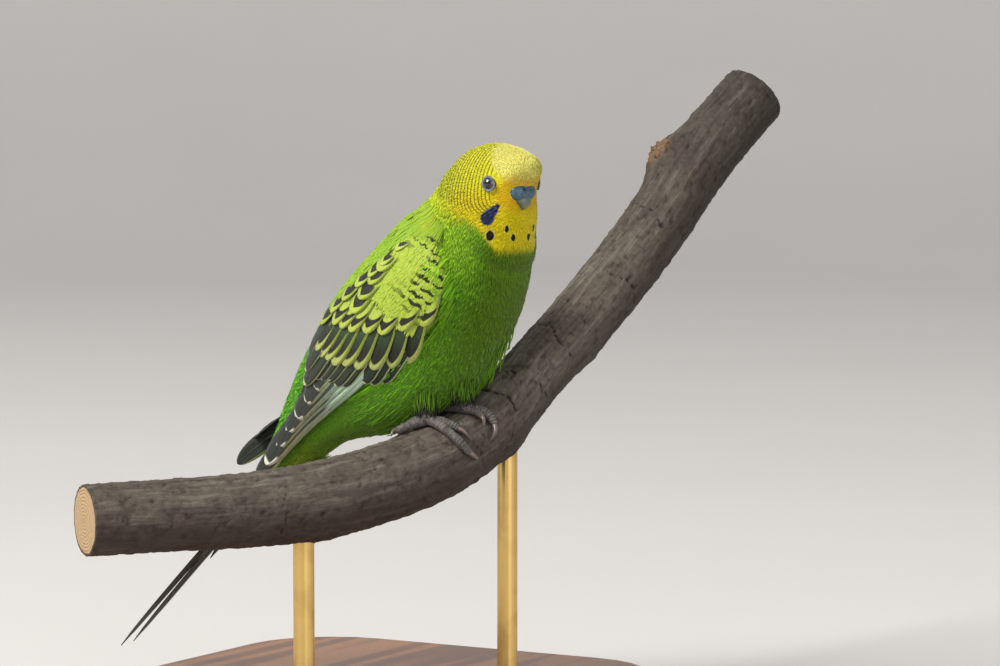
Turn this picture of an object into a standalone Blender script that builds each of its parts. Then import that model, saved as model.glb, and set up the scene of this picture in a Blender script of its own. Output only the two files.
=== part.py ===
# Budgerigar perched on a cut length of branch, held by a plain display stand, life size.
# Metres, +Z up. The bird faces -Y and its left side is +X. The origin is the centre of the base's underside.
# Places on the bird and the branch are given in mm from the foothold, the point of the branch under the breast.
import math

import bmesh
import bpy
from mathutils import Matrix, Vector

MM = 0.001
GAP = 0.3 * MM  # clearance between neighbouring pieces
PARTS, CUTTERS = "Budgerigar", "Cutters"

# Display stand
BASE_SIZE = Vector((176, 140, 10)) * MM
BASE_CORNER = 30 * MM
BASE_CORNER_STEPS = 6
BASE_BEVEL = 1.5 * MM
BASE_SHIFT = Vector((-4, 38, 0)) * MM  # base centre, measured from the foothold
TAIL_CLEARANCE = 6  # height of the tail's tip above the base, in mm
ROD_RADIUS = 3.0 * MM
ROD_SEAT = 6 * MM  # how far a rod enters the base and the branch
ROD_PLACES = (0.25, 0.58)  # where the rods meet the branch, as shares of its length
ROD_SIDES = 20

# Cut branch: centre line, with the radius there
BRANCH_LINE = (
    (-103, 57, -23.5, 9.9),
    (-85, 44, -23.3, 10.0),
    (-63, 29.5, -23.0, 10.5),
    (-44, 18, -21.4, 11.0),
    (-22.5, 8.3, -17.4, 11.2),
    (-3, 1.0, -11.4, 11.2),
    (13.5, -3.8, -3.1, 10.4),
    (33.6, -8.9, 11.8, 9.6),
    (56, -17, 31.1, 9.9),
    (76, -24, 50.8, 10.1),
    (95.5, -31, 73.0, 10.1),
    (116, -38.5, 92.0, 10.2),
)
BRANCH_SIDES = 14
BRANCH_RINGS = 34
# Swellings on the branch: share of its length, angle round it, height and length in mm, spread in degrees
BRANCH_KNOTS = (
    (0.885, 112, 4.2, 5.5, 34),
    (0.92, 60, 1.2, 6.0, 60),
    (0.545, -70, 1.3, 5.5, 45),
    (0.27, -100, 0.7, 8.0, 50),
    (0.68, -60, 0.8, 5.0, 40),
)

# Bird's outline from the face to the tail coverts.
# Each section is forward, up, tilt of its back, half width, half depth to the back and to the belly, and the
# exponent of its outline, where 2 is an ellipse.
SECTIONS = (
    (29.4, 72.2, 0, 3.0, 2.6, 2.0, 2.0),
    (28.4, 71.2, 0, 6.0, 4.7, 4.0, 2.0),
    (26.2, 69.2, 3, 8.3, 8.0, 7.2, 2.0),
    (23.9, 67.4, 12, 10.2, 11.4, 11.2, 2.0),
    (20.2, 66.6, 20, 11.5, 13.5, 16.2, 2.0),
    (15.8, 64.9, 28, 13.3, 14.8, 19.8, 2.0),
    (12.3, 61.1, 36, 15.2, 15.6, 20.6, 2.1),
    (9.4, 56.0, 43, 16.6, 16.4, 19.6, 2.1),
    (6.4, 50.2, 47, 17.8, 18.2, 20.6, 2.1),
    (1.8, 43.4, 48, 19.6, 20.0, 22.8, 2.1),
    (-5.4, 34.0, 47, 21.2, 21.6, 24.8, 2.1),
    (-14.6, 23.6, 45, 21.6, 22.5, 25.8, 2.1),
    (-24.8, 13.4, 43, 19.8, 21.3, 23.0, 2.1),
    (-35.0, 4.4, 42, 16.0, 19.0, 17.2, 2.1),
    (-44.0, -3.0, 42, 11.6, 14.8, 11.8, 2.1),
    (-53.0, -11.2, 43, 7.8, 9.6, 7.8, 2.1),
    (-61.0, -19.0, 44, 5.2, 5.2, 5.0, 2.1),
    (-67.0, -25.0, 44, 3.0, 2.4, 2.8, 2.1),
)
HEAD_END, NECK_END, TORSO_END, RUMP_END = 6.0, 8.0, 14.6, 17.0  # section numbers where the body is parted
SHOULDER = 7.0  # section from which places along the wings are measured
BODY_SIDES = 28
HEAD_TURN = math.radians(15)  # the head looks towards the bird's right
TURN_FROM, TURN_TO = 9.0, 5.0  # section numbers between which the neck takes up the turn
TURN_PIVOT = 6.0  # forward place of the turning axis

# Hollows of the face beside the bill: place on the turned head, depth and reach in mm
HOLLOW_PLACE = Vector((26.0, 8.0, 64.4))
HOLLOW_DEPTH, HOLLOW_REACH = 2.4, 5.5

# Eyes and lids, placed by section number and angle above the side
EYE_SECTION, EYE_ANGLE = 3.4, 3.3
EYE_RADIUS = 2.45 * MM
EYE_DEPTH = 1.75 * MM  # depth of the eye's centre under the face
EYE_SIDES, EYE_RINGS = 14, 8
LID_RADIUS, LID_THICKNESS = 1.9 * MM, 0.4 * MM
LID_STEPS, LID_SIDES = 14, 6

# Face: places as forward, left, up before the head's turn
CERE_PLACE = Vector((25.6, 0, 65.5))
CERE_LOBE = Vector((2.8, 3.0, 2.1)) * MM  # half sizes of each of its two lobes
CERE_SPREAD = 2.1  # sideways place of each lobe
CERE_SIDES, CERE_RINGS = 14, 8
NOSTRIL_PLACE = Vector((27.5, 2.2, 66.9))
NOSTRIL_RADIUS = 0.5 * MM
# Middle lines of the hooked upper bill and the lower bill: forward, up, half width, half height
UPPER_BILL = (
    (21.4, 64.0, 3.2, 2.3),
    (24.6, 63.8, 3.4, 2.4),
    (26.7, 62.7, 2.9, 2.0),
    (27.3, 61.3, 2.1, 1.5),
    (27.0, 60.3, 1.2, 0.9),
    (26.3, 59.6, 0.35, 0.35),
)
LOWER_BILL = (
    (20.4, 61.6, 2.2, 1.1),
    (23.2, 61.1, 2.0, 1.0),
    (24.8, 60.5, 1.4, 0.7),
    (25.5, 60.2, 0.7, 0.35),
)
BILL_SIDES = 10

# Folded wing: a curved sheet round the body that its feathers lie on
WING_STAND_OFF = (2.4, 1.2, 2.4)  # how far the sheet lies outside the body's side, back and belly
# Where the sheet leaves the body: its half width and half depth by section number
WING_ENDS = {13: (18.0, 19.6), 14: (14.2, 15.4), 15: (10.8, 10.8), 16: (8.4, 7.4), 17: (6.6, 5.4)}
WING_RIM_DROP = 2.1  # how far the sheet sinks towards its rim
# Rim of the wing: mm along the body from the shoulder, lowest and highest angle above the side
WING_RIM = (
    (6, 2, 52), (12, -20, 66), (20, -29, 70), (30, -25, 71), (40, -21, 70), (50, -18, 66), (60, -15, 52),
    (68, -12, 36), (78, -8, 26), (90, -5, 22), (98, 0, 20),
)
WING_CORE_RINGS = 15
WING_CORE_SIDES = 9
WING_CORE_DEPTH = 3.0  # of the core before the torso is cut from it
WING_CORE_THICKNESS = 1.1  # of the core past the torso's end
LEFT_TIP_SHIFT = (-6.0, 11.0, 7.0)  # of the left wing's tip: inwards, off the back and further back
LEFT_TIP_FROM, LEFT_TIP_TO = 50, 106  # mm from the shoulder between which it shifts

# Tiers of wing feathers: how many, sections along each, first root, last root, first tip, last tip, half width
# and lift at the tip. Roots and tips are mm from the shoulder and degrees above the side.
WING_TIERS = (
    ("primary", 7, 6, (34, -14), (48, 4), (107.5, 6), (64, 16), 3.6, 0.4),
    ("secondary", 5, 4, (44, 2), (46, 42), (62, 12), (66, 38), 4.3, 0.7),
    ("greater", 8, 4, (24, -12), (38, 40), (44, -26), (56, 34), 4.0, 0.8),
    ("median", 6, 4, (16, -12), (26, 44), (34, -25), (43, 38), 4.8, 0.9),
    ("lesser", 4, 4, (8, 4), (12, 42), (23, -17), (28, 38), 6.0, 0.8),
    ("scapular", 4, 4, (10, 56), (38, 58), (29, 58), (58, 52), 5.0, 0.5),
)
VANE_RIDGE, VANE_EDGE = 0.45, 0.2  # height of a vane's middle and of its edges over its line
VANE_DEPTH = 0.45  # depth of a free vane under its line
VANE_SUNK = 0.9  # depth of a wing feather's root under the sheet, and of the underside of one on the core
VANE_ROLL = math.radians(4)  # tilt by which a feather's upper edge goes under the next

# Tail feathers in pairs, the middle pair longest
TAIL_ROOT = Vector((-54.0, 0, -12.0))
TAIL_TIP = Vector((-117.5, 0, -76.0))
TAIL_LENGTHS = (1.0, 0.64, 0.57, 0.50, 0.44, 0.38)  # shares of the middle pair's length
TAIL_WIDTHS = (2.7, 3.0, 3.1, 3.1, 3.0, 2.8)
TAIL_SPREAD = 1.5  # degrees between neighbouring pairs
TAIL_STEP = 0.75  # each pair lies this far under the one before
TAIL_SHAPE = ((0.0, 0.6), (0.2, 0.9), (0.55, 1.0), (0.85, 0.78), (1.0, 0.22))  # shares of length and half width

# Feet: share of the branch's length, degrees round it from its front, and four toes, two forward and two back.
# Each toe has its root, middle, end and claw's tip, as mm along the branch from the foot and degrees round it.
FEET = {
    "right": (0.433, 83, (
        ((0.2, 82), (1.6, 42), (4.5, 10), (7.4, -5)),
        ((0.6, 82), (4.2, 58), (5.9, 45), (7.8, 22)),
        ((-0.4, 85), (-7.0, 95), (-11.5, 97), (-15.0, 94)),
        ((-0.2, 86), (-1.5, 114), (-2.5, 138), (-3.0, 158)),
    )),
    "left": (0.493, 66, (
        ((0.4, 66), (5.4, 46), (4.6, 24), (-0.6, 9)),
        ((0.2, 66), (2.6, 54), (2.4, 43), (-0.6, 29)),
        ((-0.4, 68), (-3.5, 96), (-4.5, 122), (-5.0, 142)),
        ((0.4, 68), (2.5, 100), (3.5, 126), (4.0, 146)),
    )),
}
TOE_STEPS = 6
TOE_SIDES = 8
TOE_RADII = (1.4, 1.05)  # at the root and at the end
TOE_PADS = (1.1, 0.96)  # swelling of the joints and waist of the lengths between
BARK_CLEARANCE = 0.25  # of a toe over the bark, besides the gap
CLAW_START = 1.75  # a claw starts inside the toe's end, at this row number of the toe's table
CLAW_SIDES = 6
CLAW_RADII = (0.85, 0.62, 0.2)
CLAW_RISE = (0.1, 0.9, 0.2)  # how far a claw's middle arches off the bark
LEG_RADII = (1.9, 1.7, 2.2)  # from the foot to where it ends in the body
LEG_SIDES = 10
LEG_TOP = Vector((-1.0, -1.5, 7.5))  # top of the leg from its foot: forward, outwards, up

FOOTHOLD = Vector((-BASE_SHIFT.x, -BASE_SHIFT.y, BASE_SIZE.z + (TAIL_CLEARANCE - TAIL_TIP.z) * MM))


def place(forward, left, up):
    """World point of a place given in mm from the foothold."""
    return FOOTHOLD + Vector((left, -forward, up)) * MM


def spline(rows, number):
    """Smooth value of a table at a row number with a fraction."""
    first = min(max(int(number), 0), len(rows) - 2)
    x = number - first
    a, b, c, d = (rows[min(max(first + k, 0), len(rows) - 1)] for k in (-1, 0, 1, 2))
    return [
        0.5 * (2 * q + (r - p) * x + (2 * p - 5 * q + 4 * r - s) * x * x + (3 * q - p - 3 * r + s) * x**3)
        for p, q, r, s in zip(a, b, c, d)
    ]


def between(rows, value):
    """Straight-line value of a table whose first column is the place."""
    for low, high in zip(rows, rows[1:]):
        if value <= high[0]:
            break
    share = min(max((value - low[0]) / (high[0] - low[0]), 0), 1)
    return [a + (b - a) * share for a, b in zip(low[1:], high[1:])]


def smoothstep(low, high, value):
    share = min(max((value - low) / (high - low), 0), 1)
    return share * share * (3 - 2 * share)


def turn_at(section):
    """Turn of the neck and head about the vertical at a section."""
    angle = -HEAD_TURN * smoothstep(TURN_FROM, TURN_TO, section)
    pivot = place(TURN_PIVOT, 0, 0)
    return Matrix.Translation(pivot) @ Matrix.Rotation(angle, 4, "Z") @ Matrix.Translation(-pivot)


def head_point(forward, left, up):
    """World point of a place on the turned head."""
    return turn_at(0) @ place(forward, left, up)


def body_frame(section):
    """Centre of a section, its sideways, backwards-up and tailwards directions, and its sizes in mm."""
    forward, up, tilt, *sizes = spline(SECTIONS, section)
    tilt = math.radians(tilt)
    turn = turn_at(section)
    side = turn.to_3x3() @ Vector((1, 0, 0))
    dorsal = turn.to_3x3() @ Vector((0, math.sin(tilt), math.cos(tilt)))
    return turn @ place(forward, 0, up), side, dorsal, dorsal.cross(side), sizes


def outline(frame, sizes, angle, lift=0.0):
    """Point of a section's outline. The angle is 0 at the left side and a right angle at the back."""
    centre, side, dorsal = frame[:3]
    width, back, belly, exponent = sizes
    cosine, sine = math.cos(angle), math.sin(angle)
    across = math.copysign(abs(cosine) ** (2 / exponent), cosine) * (width + lift)
    over = math.copysign(abs(sine) ** (2 / exponent), sine) * ((back if sine > 0 else belly) + lift)
    return centre + (side * across + dorsal * over) * MM


def flesh(frame, angle, lift=0.0):
    """Point of the body's own outline, with the hollows beside the bill."""
    point = outline(frame, frame[4], angle, lift)
    for hand in (-1, 1):
        away = point - head_point(HOLLOW_PLACE.x, HOLLOW_PLACE.y * hand, HOLLOW_PLACE.z)
        depth = HOLLOW_DEPTH * math.exp(-((away.length / MM / HOLLOW_REACH) ** 2))
        point += (frame[0] - point).normalized() * depth * MM
    return point


def body_point(section, degrees, lift=0.0):
    return flesh(body_frame(section), math.radians(degrees), lift)


def wing_rows():
    """Half sizes of the wing's sheet at each section."""
    rows = [[*(size + off for size, off in zip(row[3:6], WING_STAND_OFF)), row[6]] for row in SECTIONS]
    for section, (width, back) in WING_ENDS.items():
        rows[section][:3] = width, back, width
    return rows


def section_steps():
    """Pairs of distance in mm along the body from the shoulder and section number."""
    steps, walked, section, stride = [(0.0, SHOULDER)], 0.0, SHOULDER, 0.1
    while section < RUMP_END:
        start = body_frame(section)[0]
        section += stride
        walked += (body_frame(section)[0] - start).length / MM
        steps.append((walked, section))
    return steps


WING_ROWS = wing_rows()
SECTION_STEPS = section_steps()


def wing_sink(distance, degrees):
    """How far the wing's surface sinks under its sheet near the rim and at the shoulder."""
    low, high = between(WING_RIM, distance)
    across = abs(2 * (degrees - low) / (high - low) - 1)
    return WING_RIM_DROP * max(min(across, 1.3) ** 4, 1 - smoothstep(2, 18, distance))


def wing_point(side, distance, degrees, lift=0.0):
    """Point by a folded wing: mm from the shoulder, degrees above the side, mm outwards of the sheet."""
    section = between(SECTION_STEPS, distance)[0]
    angle = math.radians(degrees)
    frame = body_frame(section)
    point = outline(frame, spline(WING_ROWS, section), angle if side > 0 else math.pi - angle, lift)
    if side > 0:
        share = smoothstep(LEFT_TIP_FROM, LEFT_TIP_TO, distance)
        point += sum((way * shift for way, shift in zip(frame[1:4], LEFT_TIP_SHIFT)), Vector()) * share * MM
    return point


def collection(name):
    found = bpy.data.collections.get(name)
    if not found:
        found = bpy.data.collections.new(name)
        bpy.context.scene.collection.children.link(found)
    return found


def add_object(name, mesh, group=PARTS):
    obj = bpy.data.objects.new(name, mesh)
    collection(group).objects.link(obj)
    return obj


def finish(shape, name, group=PARTS):
    """Object made of a bmesh, with its faces pointing outwards."""
    bmesh.ops.recalc_face_normals(shape, faces=shape.faces)
    mesh = bpy.data.meshes.new(name)
    shape.to_mesh(mesh)
    shape.free()
    return add_object(name, mesh, group)


def paint(obj, colour, roughness=0.7, metallic=0.0, sharp=40):
    """Smooth shading and the piece's own material."""
    obj.data.shade_smooth()
    obj.data.set_sharp_from_angle(angle=math.radians(sharp))
    made = bpy.data.materials.new(obj.name)
    made.use_nodes = True
    shader = made.node_tree.nodes["Principled BSDF"]
    shader.inputs["Base Color"].default_value = (*colour, 1)
    shader.inputs["Roughness"].default_value = roughness
    shader.inputs["Metallic"].default_value = metallic
    obj.data.materials.clear()
    obj.data.materials.append(made)


def loft(name, rings, group=PARTS, alike=False):
    """Closed solid through rings of points. Alike splits the lower half of each ring as the upper half."""
    shape = bmesh.new()
    loops = [[shape.verts.new(point) for point in ring] for ring in rings]
    sides = len(loops[0])
    for ring, after in zip(loops, loops[1:]):
        for k in range(sides):
            n = (k + 1) % sides
            if alike and k >= sides // 2:
                shape.faces.new((ring[k], ring[n], after[k]))
                shape.faces.new((ring[n], after[n], after[k]))
            else:
                shape.faces.new((ring[k], ring[n], after[n]))
                shape.faces.new((ring[k], after[n], after[k]))
    shape.faces.new(reversed(loops[0]))
    shape.faces.new(loops[-1])
    return finish(shape, name, group)


def combine(obj, others, operation="UNION", solver="MANIFOLD"):
    """Joins or cuts one object with others, which are then removed, and keeps its largest closed surface."""
    group = bpy.data.collections.new(obj.name + " others")
    bpy.context.scene.collection.children.link(group)
    for other in others:
        group.objects.link(other)
    change = obj.modifiers.new("change", "BOOLEAN")
    change.operand_type = "COLLECTION"
    change.collection = group
    change.operation = operation
    change.solver = solver
    changed = obj.evaluated_get(bpy.context.evaluated_depsgraph_get())
    mesh = bpy.data.meshes.new_from_object(changed)
    obj.modifiers.clear()
    obj.data = mesh
    for other in others:
        bpy.data.objects.remove(other)
    bpy.data.collections.remove(group)
    keep_largest(mesh)


def keep_largest(mesh):
    """Drops all but the closed surface that holds the most."""
    shape = bmesh.new()
    shape.from_mesh(mesh)
    waiting, surfaces = set(shape.faces), []
    while waiting:
        reached, found = [waiting.pop()], []
        while reached:
            face = reached.pop()
            found.append(face)
            for near in (link for edge in face.edges for link in edge.link_faces):
                if near in waiting:
                    waiting.remove(near)
                    reached.append(near)
        surfaces.append(found)
    surfaces.sort(key=lambda faces: abs(sum(
        f.calc_area() * f.normal.dot(f.calc_center_median() - FOOTHOLD) for f in faces)))
    for faces in surfaces[:-1]:
        bmesh.ops.delete(shape, geom=faces, context="FACES")
    bmesh.ops.triangulate(shape, faces=shape.faces)
    shape.to_mesh(mesh)
    shape.free()


def tube(name, points, radii, sides, group=PARTS, grow=0.0):
    """Closed mesh tube along points, from a curve with a radius at each. Grow thickens and lengthens it."""
    radii = [radius + grow for radius in radii]
    ends = [points[0] + (points[0] - points[1]).normalized() * grow]
    ends.append(points[-1] + (points[-1] - points[-2]).normalized() * grow)
    points = [ends[0], *points[1:-1], ends[1]]
    curve = bpy.data.curves.new(name, "CURVE")
    curve.dimensions = "3D"
    curve.bevel_depth = 1.0
    curve.bevel_resolution = sides // 2 - 2
    curve.use_fill_caps = True
    line = curve.splines.new("POLY")
    line.points.add(len(points) - 1)
    for knot, point, radius in zip(line.points, points, radii):
        knot.co = (*point, 1)
        knot.radius = radius
    piece = add_object(name, curve, group)
    mesh = bpy.data.meshes.new_from_object(piece.evaluated_get(bpy.context.evaluated_depsgraph_get()))
    bpy.data.objects.remove(piece)
    shape = bmesh.new()
    shape.from_mesh(mesh)
    bmesh.ops.remove_doubles(shape, verts=shape.verts, dist=0.001 * MM)
    bpy.data.meshes.remove(mesh)
    return finish(shape, name, group)


def ball(name, centre, sizes, turn=None, segments=16, rings=10, group=PARTS):
    """Ellipsoid with its poles along its own Z."""
    shape = bmesh.new()
    bmesh.ops.create_uvsphere(shape, u_segments=segments, v_segments=rings, radius=1.0)
    turn = turn.to_4x4() if turn else Matrix()
    bmesh.ops.transform(
        shape, matrix=Matrix.Translation(centre) @ turn @ Matrix.Diagonal((*sizes, 1)), verts=shape.verts
    )
    return finish(shape, name, group)


def rod(name, low, high, radius, group=PARTS):
    """Upright cylinder between two points."""
    shape = bmesh.new()
    bmesh.ops.create_cone(
        shape, cap_ends=True, segments=ROD_SIDES, radius1=radius, radius2=radius, depth=(high - low).length,
        matrix=Matrix.Translation((low + high) / 2),
    )
    return finish(shape, name, group)


def body_length(name, start, end, rings, grow=0.0, group=PARTS):
    """Length of the body between two sections, parted from its neighbours by half a gap at each end."""
    made = []
    for k in range(rings + 1):
        frame = body_frame(start + (end - start) * k / rings)
        inset = (-grow * MM if grow else GAP / 2) * ((k == 0) - (k == rings))
        frame = (frame[0] + frame[3] * inset, *frame[1:])
        angles = [2 * math.pi * j / BODY_SIDES for j in range(BODY_SIDES)]
        made.append([flesh(frame, angle, grow) for angle in angles])
    return loft(name, made, group)


def vane(name, stations):
    """Feather's vane: stations of centre, sideways and outward directions, half width and depth in mm."""
    rings = []
    for centre, side, out, width, depth in stations:
        section = (
            (-width, VANE_EDGE), (0, VANE_RIDGE), (width, VANE_EDGE),
            (width, -depth + VANE_EDGE), (0, -depth), (-width, -depth + VANE_EDGE),
        )
        rings.append([centre + (side * across + out * up) * MM for across, up in section])
    return loft(name, rings, CUTTERS, alike=True)


def wing_vane(name, side, steps, root, tip, width, lift):
    """One wing feather from its root to its tip on the wing's sheet."""

    def at(share):
        distance, degrees = (a + (b - a) * share for a, b in zip(root, tip))
        height = -VANE_SUNK + (VANE_SUNK + lift) * share**0.7
        over_core = distance < WING_RIM[-1][0]
        sink = wing_sink(distance, degrees)
        depth = height + VANE_SUNK if over_core else 0
        out = wing_point(side, distance, degrees, 1) - wing_point(side, distance, degrees, 0)
        return wing_point(side, distance, degrees, height - sink), out, max(depth, VANE_DEPTH)

    stations = []
    for k in range(steps):
        share = 1 - (1 - k / (steps - 1)) ** 1.3
        breadth = min(1, 0.55 + 1.5 * share) * math.sqrt(1 - 0.9 * max(0, (share - 0.6) / 0.4) ** 2)
        centre, out, depth = at(share)
        along = (at(min(share + 0.02, 1))[0] - at(max(share - 0.02, 0))[0]).normalized()
        out = (out - along * out.dot(along)).normalized()
        across = along.cross(out) * side
        roll = Matrix.Rotation(VANE_ROLL * side, 3, along)
        stations.append((centre, roll @ across, roll @ out, width * breadth, depth))
    return vane(name, stations)


def wing_core(name, side):
    """Body of the folded wing, from the sheet in to the torso, and a thin blade past the torso's end."""
    rings = []
    first, last = WING_RIM[0][0], WING_RIM[-1][0]
    for k in range(WING_CORE_RINGS):
        distance = first + (last - first) * k / (WING_CORE_RINGS - 1)
        low, high = between(WING_RIM, distance)
        angles = [low + (high - low) * j / (WING_CORE_SIDES - 1) for j in range(WING_CORE_SIDES)]
        depth = WING_CORE_DEPTH + smoothstep(60, 84, distance) * (WING_CORE_THICKNESS - WING_CORE_DEPTH)
        outer = [wing_point(side, distance, a, -wing_sink(distance, a)) for a in angles]
        inner = [wing_point(side, distance, a, -wing_sink(distance, a) - depth) for a in reversed(angles)]
        rings.append(outer + inner)
    return loft(name, rings, alike=True)


def wing(name, side):
    core = wing_core(name, side)
    feathers = []
    for tier, count, steps, first_root, last_root, first_tip, last_tip, width, lift in WING_TIERS:
        for k in range(count):
            share = k / (count - 1)
            root = [a + (b - a) * share for a, b in zip(first_root, last_root)]
            tip = [a + (b - a) * share for a, b in zip(first_tip, last_tip)]
            feathers.append(wing_vane(f"{name}_{tier}_{k}", side, steps, root, tip, width, lift))
    combine(core, feathers)
    combine(core, [body_length("inner", SHOULDER - 2, RUMP_END, 24, 0.3, CUTTERS)], "DIFFERENCE")
    return core


def tail():
    """Rump past the torso's end with the tail feathers in pairs."""
    core = body_length("tail", TORSO_END, RUMP_END, 6)
    root, tip = place(*TAIL_ROOT), place(*TAIL_TIP)
    along = (tip - root).normalized()
    side = Vector((1, 0, 0))
    out = side.cross(along)
    feathers = []
    for k, (share, width) in enumerate(zip(TAIL_LENGTHS, TAIL_WIDTHS)):
        for hand in (-1, 1):
            turn = Matrix.Rotation(math.radians((0.8 + TAIL_SPREAD * k) * hand), 3, out)
            start = root + (side * hand * (1.2 + 0.25 * k) - out * (TAIL_STEP * k + (0.25 if hand > 0 else 0))) * MM
            length = (tip - root).length * share * (0.985 if hand > 0 else 1.0)
            stations = [
                (start + turn @ along * length * part, turn @ side, out, width * breadth, VANE_DEPTH)
                for part, breadth in TAIL_SHAPE
            ]
            feathers.append(vane(f"tail_{k}_{hand}", stations))
    combine(core, feathers)
    return core


def branch_length():
    """Length of the branch's centre line in mm."""
    return sum((Vector(b[:3]) - Vector(a[:3])).length for a, b in zip(BRANCH_LINE, BRANCH_LINE[1:]))


def branch_point(share):
    """Centre, direction and radius in metres of the branch at a share of its length."""
    number = share * (len(BRANCH_LINE) - 1)
    x, y, z, radius = spline(BRANCH_LINE, number)
    ahead, behind = (Vector(spline(BRANCH_LINE, number + step)[:3]) for step in (0.02, -0.02))
    return FOOTHOLD + Vector((x, y, z)) * MM, (ahead - behind).normalized(), radius * MM


def branch_round(share, degrees, lift):
    """Point round the branch: 0 degrees is its front, 90 its top. The lift is in mm from the bark."""
    centre, along, radius = branch_point(share)
    front = Vector((0, 0, 1)).cross(along).normalized()
    front = -front if front.y > 0 else front
    top = along.cross(front)
    top = -top if top.z < 0 else top
    angle = math.radians(degrees)
    return centre + (front * math.cos(angle) + top * math.sin(angle)) * (radius + lift * MM)


def branch(name, grow=0.0, group=PARTS):
    """Cut branch with its swellings."""
    rings = []
    for k in range(BRANCH_RINGS + 1):
        share = k / BRANCH_RINGS
        ring = []
        for j in range(BRANCH_SIDES):
            degrees = 360 * j / BRANCH_SIDES
            swell = 0.0
            for where, angle, height, reach, spread in BRANCH_KNOTS:
                off = (degrees - angle + 180) % 360 - 180
                along = (share - where) * branch_length() / reach
                swell += height * math.exp(-(along**2) - (off / spread) ** 2)
            ring.append(branch_round(share, degrees, swell + grow))
        rings.append(ring)
    return loft(name, rings, group)


def foot(label, grow=0.0, group=PARTS):
    """Leg with its toes round the branch, two to the front and two to the back, and their claws."""
    share, degrees, toes = FEET[label]
    outwards = -1 if label == "right" else 1
    name = f"leg_{label}" if group == PARTS else f"leg_{label}_room"
    clearance = GAP / MM + BARK_CLEARANCE

    def on_bark(row, rise):
        along, round_it = spline(toe, row)
        return branch_round(share + along / branch_length(), round_it, clearance + rise)

    pieces = []
    for k, toe in enumerate(toes):
        points, radii = [], []
        for step in range(TOE_STEPS + 1):
            part = step / TOE_STEPS
            radius = TOE_RADII[0] + (TOE_RADII[1] - TOE_RADII[0]) * part
            points.append(on_bark(2 * part, radius))
            radii.append(radius * TOE_PADS[step % 2] * MM)
        pieces.append(tube(f"{name}_toe_{k}", points, radii, TOE_SIDES, CUTTERS, grow * MM))
        rows = (CLAW_START, (CLAW_START + 3) / 2, 3)
        claw = [on_bark(row, radius + rise) for row, radius, rise in zip(rows, CLAW_RADII, CLAW_RISE)]
        radii = [radius * MM for radius in CLAW_RADII]
        pieces.append(tube(f"{name}_claw_{k}", claw, radii, CLAW_SIDES, CUTTERS, grow * MM))
    sole = branch_round(share, degrees, clearance + LEG_RADII[0])
    sizes = ((LEG_RADII[0] + grow) * MM,) * 3
    pieces.append(ball(f"{name}_sole", sole, sizes, None, LEG_SIDES, LEG_SIDES - 2, CUTTERS))
    top = sole + Vector((LEG_TOP.y * outwards, -LEG_TOP.x, LEG_TOP.z)) * MM
    radii = [radius * MM for radius in LEG_RADII]
    leg = tube(name, [sole, (sole + top) / 2, top], radii, LEG_SIDES, group, grow * MM)
    combine(leg, pieces)
    return leg


def cere(name, grow=0.0, group=PARTS):
    """Two-lobed cere over the bill."""
    sizes = CERE_LOBE + Vector((1, 1, 1)) * grow * MM
    turn = turn_at(0).to_3x3()
    lobes = [
        ball(f"{name}_{hand}", head_point(CERE_PLACE.x, CERE_PLACE.y + CERE_SPREAD * hand, CERE_PLACE.z),
             (sizes.y, sizes.x, sizes.z), turn, CERE_SIDES, CERE_RINGS, group)
        for hand in (-1, 1)
    ]
    combine(lobes[0], lobes[1:])
    lobes[0].name = name
    return lobes[0]


def bill(name, line, grow=0.0, group=PARTS):
    """Bill's half, lofted along its line of forward, up, half width and half height."""
    rings = []
    turn = turn_at(0).to_3x3()
    side = turn @ Vector((1, 0, 0))
    for k, (forward, up, width, height) in enumerate(line):
        before, after = line[max(k - 1, 0)], line[min(k + 1, len(line) - 1)]
        along = turn @ Vector((0, before[0] - after[0], after[1] - before[1])).normalized()
        over = side.cross(along)
        centre = head_point(forward, 0, up) + along * grow * MM * ((k == len(line) - 1) - (k == 0))
        angles = [2 * math.pi * j / BILL_SIDES for j in range(BILL_SIDES)]
        rings.append([
            centre + (side * math.cos(a) * (width + grow) + over * math.sin(a) * (height + grow)) * MM
            for a in angles
        ])
    return loft(name, rings, group)


def eye_place(hand):
    """Centre of an eye and its outward direction."""
    degrees = EYE_ANGLE if hand > 0 else 180 - EYE_ANGLE
    surface = body_point(EYE_SECTION, degrees)
    tailwards = body_point(EYE_SECTION + 0.1, degrees) - surface
    upwards = body_point(EYE_SECTION, degrees + 2 * hand) - surface
    out = tailwards.cross(upwards).normalized()
    if out.dot(surface - body_frame(EYE_SECTION)[0]) < 0:
        out = -out
    return surface - out * EYE_DEPTH, out, surface


def lid(name, surface, turn):
    """Ring of the eyelids."""
    shape = bmesh.new()
    loops = []
    for j in range(LID_STEPS):
        angle = 2 * math.pi * j / LID_STEPS
        around = Vector((math.cos(angle), math.sin(angle), 0))
        loop = []
        for i in range(LID_SIDES):
            over = 2 * math.pi * i / LID_SIDES
            point = around * (LID_RADIUS + LID_THICKNESS * math.cos(over))
            loop.append(shape.verts.new(surface + turn @ (point + Vector((0, 0, LID_THICKNESS * math.sin(over))))))
        loops.append(loop)
    for loop, after in zip(loops, loops[1:] + loops[:1]):
        for i in range(LID_SIDES):
            n = (i + 1) % LID_SIDES
            shape.faces.new((loop[i], after[i], after[n], loop[n]))
    return finish(shape, name, CUTTERS)


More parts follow.
